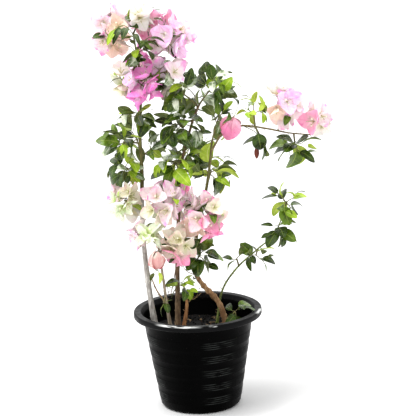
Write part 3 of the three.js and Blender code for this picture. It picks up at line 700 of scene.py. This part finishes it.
class Skin:
    """A material's nodes, with short names for the kinds that are used here. A colour is given as text."""

    def __init__(self, name):
        self.material = bpy.data.materials.new(name)
        self.material.use_nodes = True
        self.nodes = self.material.node_tree.nodes

    def put(self, socket, value):
        if isinstance(value, bpy.types.NodeSocket):
            self.material.node_tree.links.new(value, socket)
        else:
            socket.default_value = rgb(value) if isinstance(value, str) else value

    def add(self, kind, inputs=(), **settings):
        node = self.nodes.new("ShaderNode" + kind)
        for key, value in settings.items():
            setattr(node, key, value)
        for key, value in dict(inputs).items():
            self.put(node.inputs[key], value)
        return node

    def set(self, **values):
        for key, value in values.items():
            self.put(self.nodes["Principled BSDF"].inputs[key.replace("_", " ")], value)

    # Noise over the object's own place, with a size in millimetres
    def noise(self, size, detail=2, stretch=None, roughness=0.5):
        place = self.add("TexCoord").outputs["Object"]
        if stretch:
            place = self.add("Mapping", {"Vector": place, "Scale": stretch}).outputs[0]
        inputs = {"Vector": place, "Scale": 1 / (size * MM), "Detail": detail, "Roughness": roughness}
        return self.add("TexNoise", inputs).outputs["Fac"]

    def math(self, operation, *values):
        return self.add("Math", dict(enumerate(values)), operation=operation).outputs[0]

    def times(self, a, b):
        return self.math("MULTIPLY", a, b)

    # A value carried from one range to another, and held at its ends
    def span(self, value, low, high, to_low=0.0, to_high=1.0):
        inputs = {"Value": value, "From Min": low, "From Max": high, "To Min": to_low, "To Max": to_high}
        return self.add("MapRange", inputs, interpolation_type="SMOOTHSTEP").outputs[0]

    # A value that wanders from one number to another in patches of a size
    def patches(self, size, detail, low, high):
        return self.span(self.noise(size, detail), 0.3, 0.7, low, high)

    def mix(self, share, a, b):
        return self.add("Mix", {0: share, 6: a, 7: b}, data_type="RGBA").outputs[2]

    def bump(self, height, distance, strength, under=None):
        inputs = {"Height": height, "Distance": distance * MM, "Strength": strength}
        if under:
            inputs["Normal"] = under
        return self.add("Bump", inputs).outputs[0]

    # A piece's own map, as two numbers
    def map_parts(self):
        place = self.add("UVMap", uv_map=BLADE_MAP).outputs[0]
        return self.add("SeparateXYZ", {"Vector": place}).outputs[:2]

    # How far along a blade a point is, and how far from its midrib, both from 0 to 1
    def blade(self):
        across, along = self.map_parts()
        return along, self.math("ABSOLUTE", self.math("MULTIPLY_ADD", across, 2.0, -1.0))

    # Side veins that leave the midrib forward, as lines from 0 to 1
    def veins(self, along, across, pairs, slant, width):
        wave = self.math("MULTIPLY_ADD", along, float(pairs), self.times(across, -slant))
        line = self.math("ABSOLUTE", self.math("SUBTRACT", self.math("FRACT", wave), 0.5))
        return self.span(line, 0.0, width, 1.0, 0.0)


# A leaf's skin: two greens in soft patches, a paler midrib and side veins, and a waxy gloss
def leaf_skin(name, deep, light, rib, gloss):
    skin = Skin(name)
    along, across = skin.blade()
    veins = skin.veins(along, across, 6, 1.4, 0.09)
    midrib = skin.span(across, 0.03, 0.1, 1.0, 0.0)
    green = skin.mix(skin.span(skin.noise(24, 3), 0.38, 0.66), deep, light)
    green = skin.mix(skin.times(veins, 0.3), green, rib)
    green = skin.mix(skin.times(midrib, 0.55), green, rib)
    skin.set(Base_Color=green, Roughness=skin.patches(6, 3, gloss, gloss + 0.16), Specular_IOR_Level=0.24)
    relief = skin.bump(skin.math("SUBTRACT", 1.0, skin.math("MAXIMUM", midrib, veins)), 0.4, 0.4)
    skin.set(Normal=skin.bump(skin.noise(1.6, 3), 0.15, 0.15, relief))
    return skin.material


# A bract's skin: papery colours from its heart to its edge, with veins and fine crinkles
def bract_skin(name, heart, blade, edge, vein):
    skin = Skin(name)
    along, across = skin.blade()
    wobble = skin.math("MULTIPLY_ADD", skin.noise(19, 2), 2.4, -1.2)
    outward = skin.math("ADD", skin.math("MULTIPLY_ADD", across, 0.16, skin.times(along, 0.8)), wobble)
    midrib = skin.span(across, 0.02, 0.08, 1.0, 0.0)
    lines = skin.math("MAXIMUM", midrib, skin.veins(along, across, 5, 1.1, 0.07))
    colour = skin.mix(skin.span(along, 0.05, 0.5), heart, blade)
    colour = skin.mix(skin.span(outward, 0.62, 1.15), colour, edge)
    colour = skin.mix(skin.times(lines, 0.4), colour, vein)
    skin.set(Base_Color=colour, Roughness=skin.patches(5, 3, 0.5, 0.68), Specular_IOR_Level=0.3)
    skin.set(Normal=skin.bump(skin.noise(4.5, 3, roughness=0.6), 0.8, 0.4, skin.bump(lines, 0.35, 0.45)))
    skin.set(Subsurface_Weight=0.3, Subsurface_Radius=(1, 0.8, 0.9), Subsurface_Scale=0.003)
    return skin.material


# Smooth waxy wood of twigs, and the greenish tubes in the flowers
def twig_skin(name, low, high, roughness):
    skin = Skin(name)
    streaks = skin.noise(5, 3, (1, 1, 0.3))
    skin.set(Base_Color=skin.mix(skin.span(streaks, 0.35, 0.65), low, high),
             Roughness=skin.patches(2, 2, roughness, roughness + 0.15), Normal=skin.bump(streaks, 0.3, 0.5))
    return skin.material


# Bark: long cracks and pale plates, with darker stains
def bark_skin(name, wood, pale, dark):
    skin = Skin(name)
    plates = skin.noise(7, 5, (1, 1, 0.22), 0.62)
    cracks = skin.noise(2.6, 4, (1, 1, 0.12), 0.6)
    colour = skin.mix(skin.span(plates, 0.42, 0.66), wood, pale)
    colour = skin.mix(skin.span(skin.noise(34, 3), 0.5, 0.72, 0.0, 0.55), colour, dark)
    colour = skin.mix(skin.span(cracks, 0.48, 0.34, 0.0, 0.85), colour, dark)
    skin.set(Base_Color=colour, Roughness=skin.span(plates, 0.3, 0.7, 0.72, 0.92), Specular_IOR_Level=0.3)
    skin.set(Normal=skin.bump(cracks, 0.6, 0.8, skin.bump(plates, 0.8, 0.7)))
    return skin.material


# Black blown plastic with a satin sheen and a little dust. Where it is marked, glints of reflected light are
# painted on it in paler dashes.
def pot_skin(name, black, sheen, shine, matt, dusty, rubbed, parts):
    skin = Skin(name)
    turn, mark = skin.map_parts()
    dust = skin.span(skin.noise(5, 6, roughness=0.7), 0.62, 0.8)
    colour = skin.mix(skin.span(skin.noise(60, 3, (1, 1, 0.35)), 0.35, 0.65), black, sheen)
    colour = skin.mix(skin.times(dust, dusty), colour, "#8a8378")
    dashes = skin.span(skin.noise(22, 2, (1, 1, 9)), 0.34, 0.58)
    worn = skin.times(dashes, skin.span(mark, 0.35, 0.95))
    for start, end, strength in parts:
        edge = (end - start) * 0.3
        rise = skin.span(turn, start, start + edge, 0.0, strength)
        fall = skin.span(turn, end - edge, end, 1.0, 0.0)
        colour = skin.mix(skin.times(worn, skin.times(rise, fall)), colour, rubbed)
    gloss = skin.patches(18, 4, matt, matt + 0.14)
    skin.set(Base_Color=colour, Roughness=skin.math("MULTIPLY_ADD", dust, 0.25, gloss))
    skin.set(Specular_IOR_Level=shine,
             Normal=skin.bump(skin.noise(1.2, 3), 0.12, 0.3, skin.bump(skin.noise(40, 2), 1.5, 0.35)))
    return skin.material


def soil_skin():
    skin = Skin("potting_soil")
    grains = skin.noise(2.2, 5, roughness=0.7)
    colour = skin.mix(skin.span(grains, 0.4, 0.62), "#030202", "#0b0806")
    colour = skin.mix(skin.span(skin.noise(16, 4), 0.58, 0.78, 0.0, 0.5), colour, "#1c150f")
    skin.set(Base_Color=colour, Roughness=0.95, Specular_IOR_Level=0.2, Normal=skin.bump(grains, 1.5, 0.9))
    return skin.material


# Soft patches, so that the floor isn't one flat colour
def floor_skin():
    skin = Skin("studio_floor")
    patches = skin.mix(skin.noise(900, 2), "#cdcdcd", "#d1d1d1")
    skin.set(Base_Color=patches, Roughness=0.9, Specular_IOR_Level=0.1)
    return skin.material


# Meshes. Their shading is smooth but for the rims of blades, where two skins meet back to back.
SHARP = radians(110)


def add_object(name, data):
    made = bpy.data.objects.new(name, data)
    bpy.context.scene.collection.objects.link(made)
    return made


class Gathered:
    """Vertices, faces and blade coordinates of many small shapes that end up as one piece."""

    def __init__(self):
        self.vertices, self.places, self.count = [], [], 0
        self.faces = {3: [], 4: []}
        self.kinds = {3: [], 4: []}

    # A group is a material's number and faces that all have three or all have four corners.
    def add(self, vertices, groups, places=None):
        self.vertices.append(np.asarray(vertices, float))
        self.places.append(np.zeros((len(vertices), 2)) if places is None else places)
        for kind, faces in groups:
            if len(faces):
                faces = np.asarray(faces, int)
                self.faces[faces.shape[1]].append(faces + self.count)
                self.kinds[faces.shape[1]].append(np.full(len(faces), kind))
        self.count += len(vertices)

    def piece(self, name, materials, replaced, slot):
        mesh = bpy.data.meshes.new(name)
        faces = [face for corners in (3, 4) for face in np.concatenate(self.faces[corners]).tolist()]
        mesh.from_pydata((np.concatenate(self.vertices) * MM).tolist(), [], faces)
        corner_vertices = np.zeros(len(mesh.loops), int)
        mesh.loops.foreach_get("vertex_index", corner_vertices)
        layer = mesh.uv_layers.new(name=BLADE_MAP)
        layer.data.foreach_set("uv", np.concatenate(self.places)[corner_vertices].ravel())
        for material in materials:
            mesh.materials.append(material)
        mesh.polygons.foreach_set("material_index", np.concatenate(self.kinds[3] + self.kinds[4]))
        mesh.polygons.foreach_set("use_smooth", [True] * len(faces))
        mesh.update()
        mesh.set_sharp_from_angle(angle=SHARP)
        made = add_object(name, mesh)
        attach(made, "root")
        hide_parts(*replaced)


# A blade's grid: rows along it and columns across, drawn to a point at its root and tip, with an upper and a
# lower skin that meet along the rim
class BladeGrid:
    def __init__(self, root_power, tip_power, rows, columns):
        along = (1 - np.cos(np.linspace(0, pi, rows + 2))) / 2
        self.t = np.concatenate([[0], np.repeat(along[1:-1], columns), [1]])
        self.s = np.concatenate([[0], np.tile(np.linspace(-1, 1, columns), rows), [0]])
        outline = self.t ** root_power * (1 - self.t) ** tip_power
        self.width = outline / outline.max()
        self.under = np.array([1 + r * columns + c for r in range(rows) for c in range(1, columns - 1)])
        below = np.arange(len(self.t))
        below[self.under] = len(below) + np.arange(len(self.under))
        last = len(below) - 1
        threes, fours = [], []
        for c in range(columns - 1):
            threes += [(0, 1 + c, 2 + c), (last, last - columns + c + 1, last - columns + c)]
            for a in range(1 + c, last - columns, columns):
                fours.append((a, a + columns, a + columns + 1, a + 1))
        faces = np.array(threes), np.array(fours)
        self.upper = [group[:, ::-1] for group in faces]
        self.lower = [below[group] for group in faces]
        both = np.stack([(self.s + 1) / 2, self.t], 1)
        self.places = np.concatenate([both, both[self.under]])


LEAF_GRID = BladeGrid(root_power=0.52, tip_power=0.66, rows=9, columns=5)
BRACT_GRID = BladeGrid(root_power=0.5, tip_power=0.8, rows=12, columns=7)


# How one blade bends, by chance
def bends(ranges, draw):
    return {name: least + more * draw() ** power for name, (least, more, power) in ranges.items()}


# A blade in its place: its own length and width, and how it folds, droops, waves, twists and cups
def set_blade(gathered, grid, root, along, face, length, width, upper, lower, fold=0, droop=0, cup=0, twist=0,
              arch=0, wave=0, waves=2, phase=0, thick=0.35):
    t, s = grid.t, grid.s
    x = t * length
    y = s * (grid.width * width / 2)
    ripple = np.sin(FULL_TURN * waves * t + phase + SIDE_SHIFT * np.sign(s))
    height = (fold * np.abs(y) - droop * length * t * t + cup * (y / (width / 2)) ** 2 * width + twist * y * t
              + arch * length * np.sin(pi * t) + wave * length * s ** 2 * grid.width * ripple)
    points = root + np.outer(x, along) + np.outer(y, cross(face, along)) + np.outer(height, face)
    groups = [(upper, faces) for faces in grid.upper] + [(lower, faces) for faces in grid.lower]
    gathered.add(np.concatenate([points, points[grid.under] - face * thick]), groups, grid.places)


# The faces of a tube's ends and walls. After the tube's rings come the middles of its foot and of its top.
def tube_faces(rings, sides):
    foot, top, last = rings * sides, rings * sides + 1, (rings - 1) * sides
    ends, walls = [], []
    for k in range(sides):
        n = (k + 1) % sides
        ends += [(foot, n, k), (top, last + k, last + n)]
        walls += [(i + k, i + n, i + sides + n, i + sides + k) for i in range(0, last, sides)]
    return ends, walls


# Each point along a line, with its direction and two more that lie square to that
def along_line(line, first_way=None):
    side = vec(1, 0, 0)
    for i, point in enumerate(line):
        way = unit(line[min(i + 1, len(line) - 1)] - line[max(i - 1, 0)])
        if i == 0 and first_way is not None:
            way = first_way
        side = square_to(way, side)
        yield point, way, side, cross(way, side)


# A round tube along points, with a radius at each, closed at both ends
def set_tube(gathered, line, radii, sides, kind):
    line = np.asarray(line, float)
    turns = FULL_TURN * np.arange(sides) / sides
    rings = [point + radius * (np.outer(np.cos(turns), side) + np.outer(np.sin(turns), other))
             for (point, _, side, other), radius in zip(along_line(line), radii)]
    groups = [(kind, faces) for faces in tube_faces(len(line), sides)]
    gathered.add(np.concatenate(rings + [line[:1], line[-1:]]), groups)


def curve_tube(gathered, curve, sizes, kind):
    radii = np.linspace(*sizes.radii, sizes.steps + 1)
    set_tube(gathered, curve.points(sizes.steps), radii, sizes.sides, kind)


# One leaf with its stalk. Its blade starts a little way up.
def set_leaf(gathered, leaf, draw, upper, lower):
    length = LEAF.length * leaf.size
    share = BLADE_LEAF.least_width + BLADE_LEAF.more_width * draw()
    start = leaf.root + leaf.along * length * BLADE_LEAF.stalk
    end = start + leaf.along * length * BLADE_LEAF.stalk_in
    set_tube(gathered, [leaf.root, start, end], BLADE_LEAF.stalk_radii, 4, lower)
    set_blade(gathered, LEAF_GRID, start, leaf.along, leaf.face, length * BLADE_LEAF.length,
              LEAF.width * leaf.size * leaf.broad * share, upper, lower, **bends(LEAF_BENDS, draw))


# One flower: its bracts cup round its axis, and each carries a slender tube. Some tubes open in a small star.
def set_flower(gathered, flower, draw, kind, bloom):
    number = BRACT_NUMBERS[kind]
    for bract in bracts_of(flower):
        size = flower.size * bloom * (BRACT.least + BRACT.more * draw())
        shape, along = bends(BRACT_BENDS, draw), bract.along
        if kind in CLOSED:
            shape.update(CLOSED_BENDS)
            along = blend((BRACT.closed_along, along), (BRACT.closed_up, flower.axis))
        face = cross(along, bract.side)
        width = FLOWER.width * size * (BRACT.narrow if kind == "greenish" else 1)
        set_blade(gathered, BRACT_GRID, bract.root, along, face, FLOWER.length * size, width, number, number,
                  thick=BRACT.thick, **shape)
        way = blend((1, along), (TUBE.lean, face))
        far = TUBE.length * size
        line = [bract.root + way * far * share + face * TUBE.bulge * sin(pi * share)
                for share in TUBE.places]
        set_tube(gathered, line, TUBE.radii, 5, TUBE_SKIN)
        if draw() < STAR.share:
            set_star(gathered, line[-1], way, STAR.radius * size, FULL_TURN * draw())


# The open mouth of a flower's tube: a small star
def set_star(gathered, centre, axis, radius, start):
    corners = 2 * STAR.points
    points = [centre + axis * STAR.heart_up]
    for k in range(corners):
        out = round_axis(axis, start + FULL_TURN * k / corners)
        share, up = (1, STAR.point_up) if k % 2 else (STAR.inner, STAR.notch_up)
        points.append(centre + out * radius * share + axis * up)
    gathered.add(points, [(STAR_SKIN, [(0, 1 + k, 1 + (k + 1) % corners) for k in range(corners)])])


# A leaf's upper and lower material: fresh green, patched with painted glare, or dark and middle green
def leaf_skins_of(fresh, pale, draw):
    chance = draw()
    if chance < fresh:
        return LEAF_NUMBERS["fresh"], LEAF_NUMBERS["fresh_under"]
    if chance > 1 - pale:
        return LEAF_NUMBERS["pale"], LEAF_NUMBERS["under"]
    return LEAF_NUMBERS["middle" if draw() < MIDDLE_SHARE else "dark"], LEAF_NUMBERS["under"]


def add_forks(twigs, curve, radius, draw):
    for share in ARM.forks:
        start, along = curve.point(share), curve.tangent(share)
        way = blend((1, round_axis(along, FULL_TURN * draw())), (ARM.fork_ahead, along))
        end = start + way * (ARM.fork_least + ARM.fork_more * draw())
        set_tube(twigs, [start, (start + end) / 2 + UP * ARM.fork_bend, end], (radius, radius * 0.8, 0.25), 5,
                 DRY_WOOD)


# An arm, bare and forked or with leaves that alternate along it. A single leaf of a kind hangs at its end.
def add_arm(leaves, twigs, sizes, draw):
    curve = Through([LIMBS[sizes.limb].curve.point(sizes.at), *sizes.places])
    curve_tube(twigs, curve, sizes, WOOD if sizes.leaves else DRY_WOOD)
    if not sizes.leaves:
        add_forks(twigs, curve, sizes.radii[1], draw)
    for n in range(sizes.leaves):
        share = ARM.first - ARM.spread * n / sizes.leaves
        along = curve.tangent(share)
        side = round_axis(along, pi / 2 * (1 if n % 2 else -1) + ARM.turn * (draw() - 0.5))
        if sizes.kind:
            direction = blend((-1, UP), (ARM.hang_side, side))
            face = square_to(direction, vec(0, -1, 0.3))
        else:
            direction = blend((1, side), (ARM.ahead, along), (-ARM.sink, UP))
            outward = vec(0, -1, 0)
            face = square_to(direction, blend((1, UP), (ARM.face_out, outward), (ARM.face_side, side)))
        leaf = Values(root=curve.point(share), along=direction, face=face, broad=sizes.broad,
                      size=sizes.size * (ARM.least_leaf + ARM.more_leaf * draw()))
        if sizes.kind:
            skins = (LEAF_NUMBERS[sizes.kind],) * 2
        else:
            is_young = n < ARM.young_leaves and sizes.leaves > 4
            skins = leaf_skins_of(ARM.young_fresh if is_young else ARM.fresh, 0, draw)
        set_leaf(leaves, leaf, draw, *skins)


# The leaves, twigs and blossom of the masses on one limb
def dress_limb(limb_name):
    leaves, twigs, blossom = Gathered(), Gathered(), Gathered()
    for owner in MASSES[limb_name].values():
        draw = chances(owner.seed * LOOKS_SEED)
        curve_tube(twigs, owner.stem, STEM, WOOD)
        for twig in owner.grown_twigs:
            curve_tube(twigs, twig.curve, TWIG, WOOD)
        for twig in owner.fine_twigs:
            curve_tube(twigs, twig.curve, FINE, GREEN_WOOD)
        for leaf in owner.grown_leaves:
            leaf.size, leaf.broad = leaf.size * owner.blade, owner.broad
            skins = leaf_skins_of(owner.fresh, 0 if owner.sparse else PALE_SHARE, draw)
            set_leaf(leaves, leaf, draw, *skins)
        for flower in owner.grown_flowers:
            kind = owner.bracts[flower.k % len(owner.bracts)]
            set_flower(blossom, flower, draw, kind, bloom_of(owner, flower))
    for number, sizes in enumerate(ARMS):
        if sizes.limb == limb_name:
            add_arm(leaves, twigs, sizes, chances(number * ARM.seed + ARM.more_seed))
    nodes = list(MASSES[limb_name])
    leaves.piece(f"{limb_name}_leaves", leaf_materials, nodes, "leaf")
    twigs.piece(f"{limb_name}_twigs", twig_materials, nodes, "green_wood")
    if blossom.count:
        blossom.piece(f"{limb_name}_blossom", bract_materials, nodes, "blossom")


# The knots where leaves once grew, and the burls: how far along, how far round, how high and how wide each is
def knots_of(limb, length, draw):
    knots = []
    at = BARK.knot_pitch * draw()
    while at < length:
        knots.append((at, FULL_TURN * draw(), BARK.knot, BARK.knot_width))
        at += BARK.knot_pitch * (BARK.least_pitch + BARK.more_pitch * draw())
    for share, height, width in limb.burls:
        for turn in (0, FULL_TURN / 3, FULL_TURN * 2 / 3):
            knots.append((share * length + 3 * draw(), turn + draw(), height / 2, width))
    return knots


# How far knots push the bark out at a place
def swelling(knots, at, turn):
    swell = 0
    for knot_at, knot_turn, height, width in knots:
        off = (at - knot_at) / width
        if abs(off) < 3:
            facing = max(cos(turn - knot_turn), 0) ** 2
            swell += height * exp(-off * off) * (BARK.behind + BARK.in_front * facing)
    return swell


# Bark in relief: a limb's tube pushed in and out by long ridges and knots, old below and young above
def build_bark(limb_name):
    limb = LIMBS[limb_name]
    steps = round(limb.curve.length() / BARK.spacing)
    draw = chances(sum(map(ord, limb_name)))
    knots = knots_of(limb, steps * BARK.spacing, draw)
    line = limb.curve.points(steps)
    vertices = []
    for i, (point, way, side, other) in enumerate(along_line(line, None if limb.root else UP)):
        radius = radius_at(limb, i / steps)
        for turn in FULL_TURN * np.arange(BARK.sides) / BARK.sides:
            out = cos(turn) * side + sin(turn) * other
            ridge = sum(height * noise.noise(Vector(out * across + way * i * along))
                        for across, along, height in BARK.ridges)
            share = 1 + BARK.ridge * ridge + swelling(knots, i * BARK.spacing, turn)
            vertices.append(point + out * radius * share)
    vertices += [line[0], line[-1] + unit(line[-1] - line[-2]) * radius_at(limb, 1) * BARK.end]
    ends, walls = tube_faces(steps + 1, BARK.sides)
    old, young = [], []
    for face in walls:
        i, k = divmod(face[0], BARK.sides)
        turns_young = steps * (limb.young_from + BARK.young_edge * (sin(3 * k) + 1))
        (old if i < turns_young else young).append(face)
    gathered = Gathered()
    gathered.add(vertices, [(OLD_BARK, ends), (OLD_BARK, old), (YOUNG_BARK, young)])
    add_spurs(gathered, limb, draw)
    skins = [bark_skin(f"bark_{limb_name}", *limb.bark.split()), dry_material, young_bark]
    gathered.piece(f"{limb_name}_bark", skins, [limb_name], limb.slot)


# Short dry spurs and curved thorns along a limb, where leaves once grew
def add_spurs(gathered, limb, draw):
    length = limb.curve.length()
    at = SPURS.above_soil * (1 + draw())
    while at < length:
        share = at / length
        along = limb.curve.tangent(share)
        out = round_axis(along, FULL_TURN * draw())
        start = limb.curve.point(share) + out * radius_at(limb, share) * SPURS.rooted
        far = SPURS.shortest + (SPURS.longest - SPURS.shortest) * draw() ** 2
        bend = start + blend((1, out), (SPURS.ahead, along)) * far * SPURS.bend_at
        tip = bend + blend((1, out), (SPURS.tip_ahead, along)) * far * (1 - SPURS.bend_at)
        set_tube(gathered, [start, bend, tip], SPURS.radii, 5, SPUR_WOOD)
        at += SPURS.pitch * (SPURS.least_pitch + SPURS.more_pitch * draw())


# The pot and its soil
def wall_radius(z):
    return POT.foot_radius + (POT.top_radius - POT.foot_radius) * z / (POT.height - POT.rim_depth)


# The pot's outline: from the middle of its foot up the wall, round the rim, and down inside to its floor
def pot_outline():
    def on_wall(z, proud=0.0):
        return wall_radius(z) + proud, z

    top, under = POT.height, POT.height - POT.rim_depth
    rim, inner_rim, foot = POT.rim_radius, POT.rim_radius - POT.rim_width, POT.foot_rounding
    flat = wall_radius(0) - foot
    outline = [(0, 0), (flat - 4, 0), (flat, 0)]
    for step in range(1, 5):
        turn = pi / 2 * step / 5
        outline.append((flat + (foot - 0.2) * sin(turn), foot * (1 - cos(turn))))
    outline.append(on_wall(foot))
    for band in range(POT.bands):
        low = POT.first_band + band * POT.band_pitch
        outline.append(on_wall(low - 0.6))
        for rib in range(POT.ribs):
            for up, proud in ((0.35, 0.75), (1.0, 1.0), (1.7, 0.8), (2.15, 0.1)):
                outline.append(on_wall(low + rib * POT.rib_pitch + up, POT.rib_proud * proud))
        outline.append(on_wall(low + (POT.ribs - 1) * POT.rib_pitch + 3))
    outline += [
        on_wall(under - 3), (wall_radius(under) + 1.5, under - 0.3), (wall_radius(under) + 4, under + 0.6),
        (rim - 5, under + 0.4), (rim - 3, under - 1), (rim - 1, under - 0.8), (rim, under + 1),
        (rim, top - 5), (rim - 0.3, top - 2.6), (rim - 1.2, top - 0.9), (rim - POT.rim_rounding, top),
        (rim - POT.rim_rounding - 1, top - 0.3), (rim - 9, top - 0.9), (inner_rim + 2, top - 0.5),
        (inner_rim + 0.6, top - 1), (inner_rim, top - 2.5), (wall_radius(under) - POT.wall + 1.2, under + 2),
        (wall_radius(under) - POT.wall, under - 3), (wall_radius(POT.floor) - POT.wall, POT.floor),
        (0, POT.floor),
    ]
    return outline


# An outline turned round the upright axis, with a second material above a height, a push for its points and a
# mask of painted glints from 0 to 1 for each place, if it has them
def turned_piece(name, outline, sides, materials, node, second_above=inf, push=None, mark=None):
    turns = FULL_TURN * np.arange(sides) / sides
    level = np.full(sides, 1.0)
    rings, places = [], []
    for radius, z in outline[1:-1]:
        rings.append(np.stack([radius * np.cos(turns), radius * np.sin(turns), level * z], 1))
        places.append(np.stack([turns / FULL_TURN, level * (mark(radius, z) if mark else 0)], 1))
    vertices = np.concatenate(rings + [[(0, 0, outline[0][1]), (0, 0, outline[-1][1])]])
    if push:
        push(vertices[:-1])
    ends, walls = tube_faces(len(rings), sides)
    groups = [(0, ends), (0, []), (1, [])]
    for face in walls:
        i = face[0] // sides
        groups[2 if min(outline[i + 1][1], outline[i + 2][1]) >= second_above else 1][1].append(face)
    gathered = Gathered()
    gathered.add(vertices, groups, np.concatenate(places + [np.zeros((2, 2))]))
    gathered.piece(name, materials, [node], node)


# How much painted glint a place of the pot's outline takes: the crests of the ribs, and the rim's upper edge
def rubbed_mark(radius, z):
    if z > POT.height - POT.rim_depth - MARK.wall_end:
        return float(z > POT.height - MARK.down and radius > POT.rim_radius - MARK.inward)
    rib = (z - POT.first_band) % POT.band_pitch // POT.rib_pitch
    crest = min(max((radius - wall_radius(z)) / POT.rib_proud, 0), 1)
    return crest if rib % 2 else crest * MARK.other_rib


def build_pot():
    # The wall's grey dashes and the rim's near-white dashes are painted glints of reflected light.
    skins = [pot_skin("pot_wall", "#010101", "#020202", 0.02, 0.26, 0.03, "#454846", WORN_WALL),
             pot_skin("pot_rim", "#010102", "#040405", 0.08, 0.34, 0.14, "#d8dad8", WORN_RIM)]
    turned_piece("nursery_pot", pot_outline(), POT.sides, skins, "pot", POT.height - POT.rim_depth - 1,
                 mark=rubbed_mark)


def make_lumps(points):
    for point in points:
        if point[2] == SOIL_TOP:
            lumps = sum(height * noise.noise(Vector(point / width)) for height, width in SOIL.lumps)
            point[2] = SOIL_TOP + min(lumps - SOIL.sunk, SOIL.sunk)


def build_soil():
    inside = POT.wall + CLEAR
    low, edge = POT.floor + CLEAR, wall_radius(SOIL_TOP) - inside
    outline = [(0, low), (wall_radius(low) - inside, low), (edge - 0.3, SOIL_TOP - 4)]
    outline += [(edge * share, SOIL_TOP) for share in np.linspace(0.995, 0.03, SOIL.rings)] + [(0, SOIL_TOP)]
    turned_piece("soil_surface", outline, SOIL.sides, [soil_material], "soil", push=make_lumps)


# Crumbs of soil and bark, and a few dry sticks and chips, that lie on the soil
CRUMB_CORNERS = [(1, 0, 0), (-1, 0, 0), (0, 1, 0), (0, -1, 0), (0, 0, 1), (0, 0, -1)]
CRUMB_FACES = [(0, 2, 4), (2, 1, 4), (1, 3, 4), (3, 0, 4), (2, 0, 5), (1, 2, 5), (3, 1, 5), (0, 3, 5)]


def build_litter():
    draw = chances(LITTER.seed)
    edge = wall_radius(SOIL_TOP) - LITTER.short_of_wall
    gathered = Gathered()

    def place(out):
        turn, far = FULL_TURN * draw(), edge * (sqrt(draw()) * out)
        return vec(far * cos(turn), far * sin(turn), SOIL_TOP)

    for _ in range(LITTER.crumbs):
        size = LITTER.least + LITTER.more * draw() ** 2
        middle = place(LITTER.spread) + UP * (size * LITTER.up - LITTER.sunk)
        corners = [middle + size * LITTER.rough * (1 + draw()) * np.array(corner) for corner in CRUMB_CORNERS]
        gathered.add(corners, [(0 if draw() < LITTER.dark_share else 1, CRUMB_FACES)])
    for _ in range(LITTER.sticks):
        start = place(LITTER.stick_spread) + UP * LITTER.stick_up
        turn = FULL_TURN * draw()
        length = LITTER.stick_least + LITTER.stick_more * draw()
        way = vec(cos(turn), sin(turn), LITTER.rise * draw())
        bend = cross(way, UP) * length * LITTER.bend * (draw() - 0.5)
        end = start + way * length
        length *= min(1, edge / hypot(end[0], end[1]))
        line = [start, start + way * length / 2 + bend, start + way * length]
        set_tube(gathered, line, LITTER.stick_radii, 5, 1)
    gathered.piece("soil_litter", [soil_material, dry_material], ["soil"], "soil")


# Camera, light and floor
def look_from_photo():
    pitch, roll = radians(CAMERA.pitch), radians(CAMERA.roll)
    right = Vector((1, 0, 0))
    ahead = Vector((0, cos(pitch), -sin(pitch)))
    up = Vector((0, sin(pitch), cos(pitch)))
    tilted_right = right * cos(roll) - up * sin(roll)
    tilted_up = right * sin(roll) + up * cos(roll)
    data = bpy.data.cameras.new("photo_camera")
    data.sensor_width = CAMERA.sensor
    data.lens = CAMERA.focal * CAMERA.sensor / CAMERA.photo
    camera = add_object("photo_camera", data)
    turn = Matrix((tilted_right, tilted_up, -ahead)).transposed().to_4x4()
    camera.matrix_world = Matrix.Translation(CAMERA.place) @ turn
    bpy.context.scene.camera = camera


def light_studio():
    world = bpy.data.worlds.new("studio")
    world.use_nodes = True
    backdrop = world.node_tree.nodes["Background"].inputs
    backdrop["Color"].default_value = (1, 1, 1, 1)
    backdrop["Strength"].default_value = WORLD_STRENGTH
    bpy.context.scene.world = world
    for name, (energy, width, place) in SUNS.items():
        light = bpy.data.lights.new(name, "SUN")
        light.energy = energy
        light.angle = radians(width)
        add_object(name, light).rotation_euler = Vector(place).to_track_quat("Z", "Y").to_euler()
    bpy.context.scene.view_settings.view_transform = "Standard"


def lay_floor():
    mesh = bpy.data.meshes.new("studio_floor")
    far, low = FLOOR.reach, FLOOR.height
    corners = [(-far, -far, low), (far, -far, low), (far, far, low), (-far, far, low)]
    mesh.from_pydata(corners, [], [range(4)])
    mesh.materials.append(floor_skin())
    add_object("studio_floor", mesh)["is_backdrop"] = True


leaf_materials = [leaf_skin(f"leaf_{kind}", *colours.split(), gloss)
                  for kind, (colours, gloss) in LEAF_KINDS.items()]
bract_materials = [bract_skin(f"bract_{kind}", *colours.split()) for kind, colours in BRACT_KINDS.items()]
bract_materials += [twig_skin("flower_tube", "#a9ab6c", "#d5cfa0", 0.5),
                    twig_skin("flower_star", "#f1edc8", "#fffbe6", 0.5)]
dry_material = twig_skin("dry_stick", "#5c4a35", "#947a58", 0.8)
young_bark = bark_skin("young_bark", "#5d5a30", "#857f4c", "#3a351d")
twig_materials = [twig_skin("twig_wood", "#4d4325", "#74703c", 0.55),
                  twig_skin("twig_green", "#5f6f2f", "#8a9a4a", 0.5), dry_material]
soil_material = soil_skin()

look_from_photo()
light_studio()
lay_floor()
build_pot()
build_soil()
build_litter()
for limb_name in LIMBS:
    build_bark(limb_name)
    dress_limb(limb_name)

low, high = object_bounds()
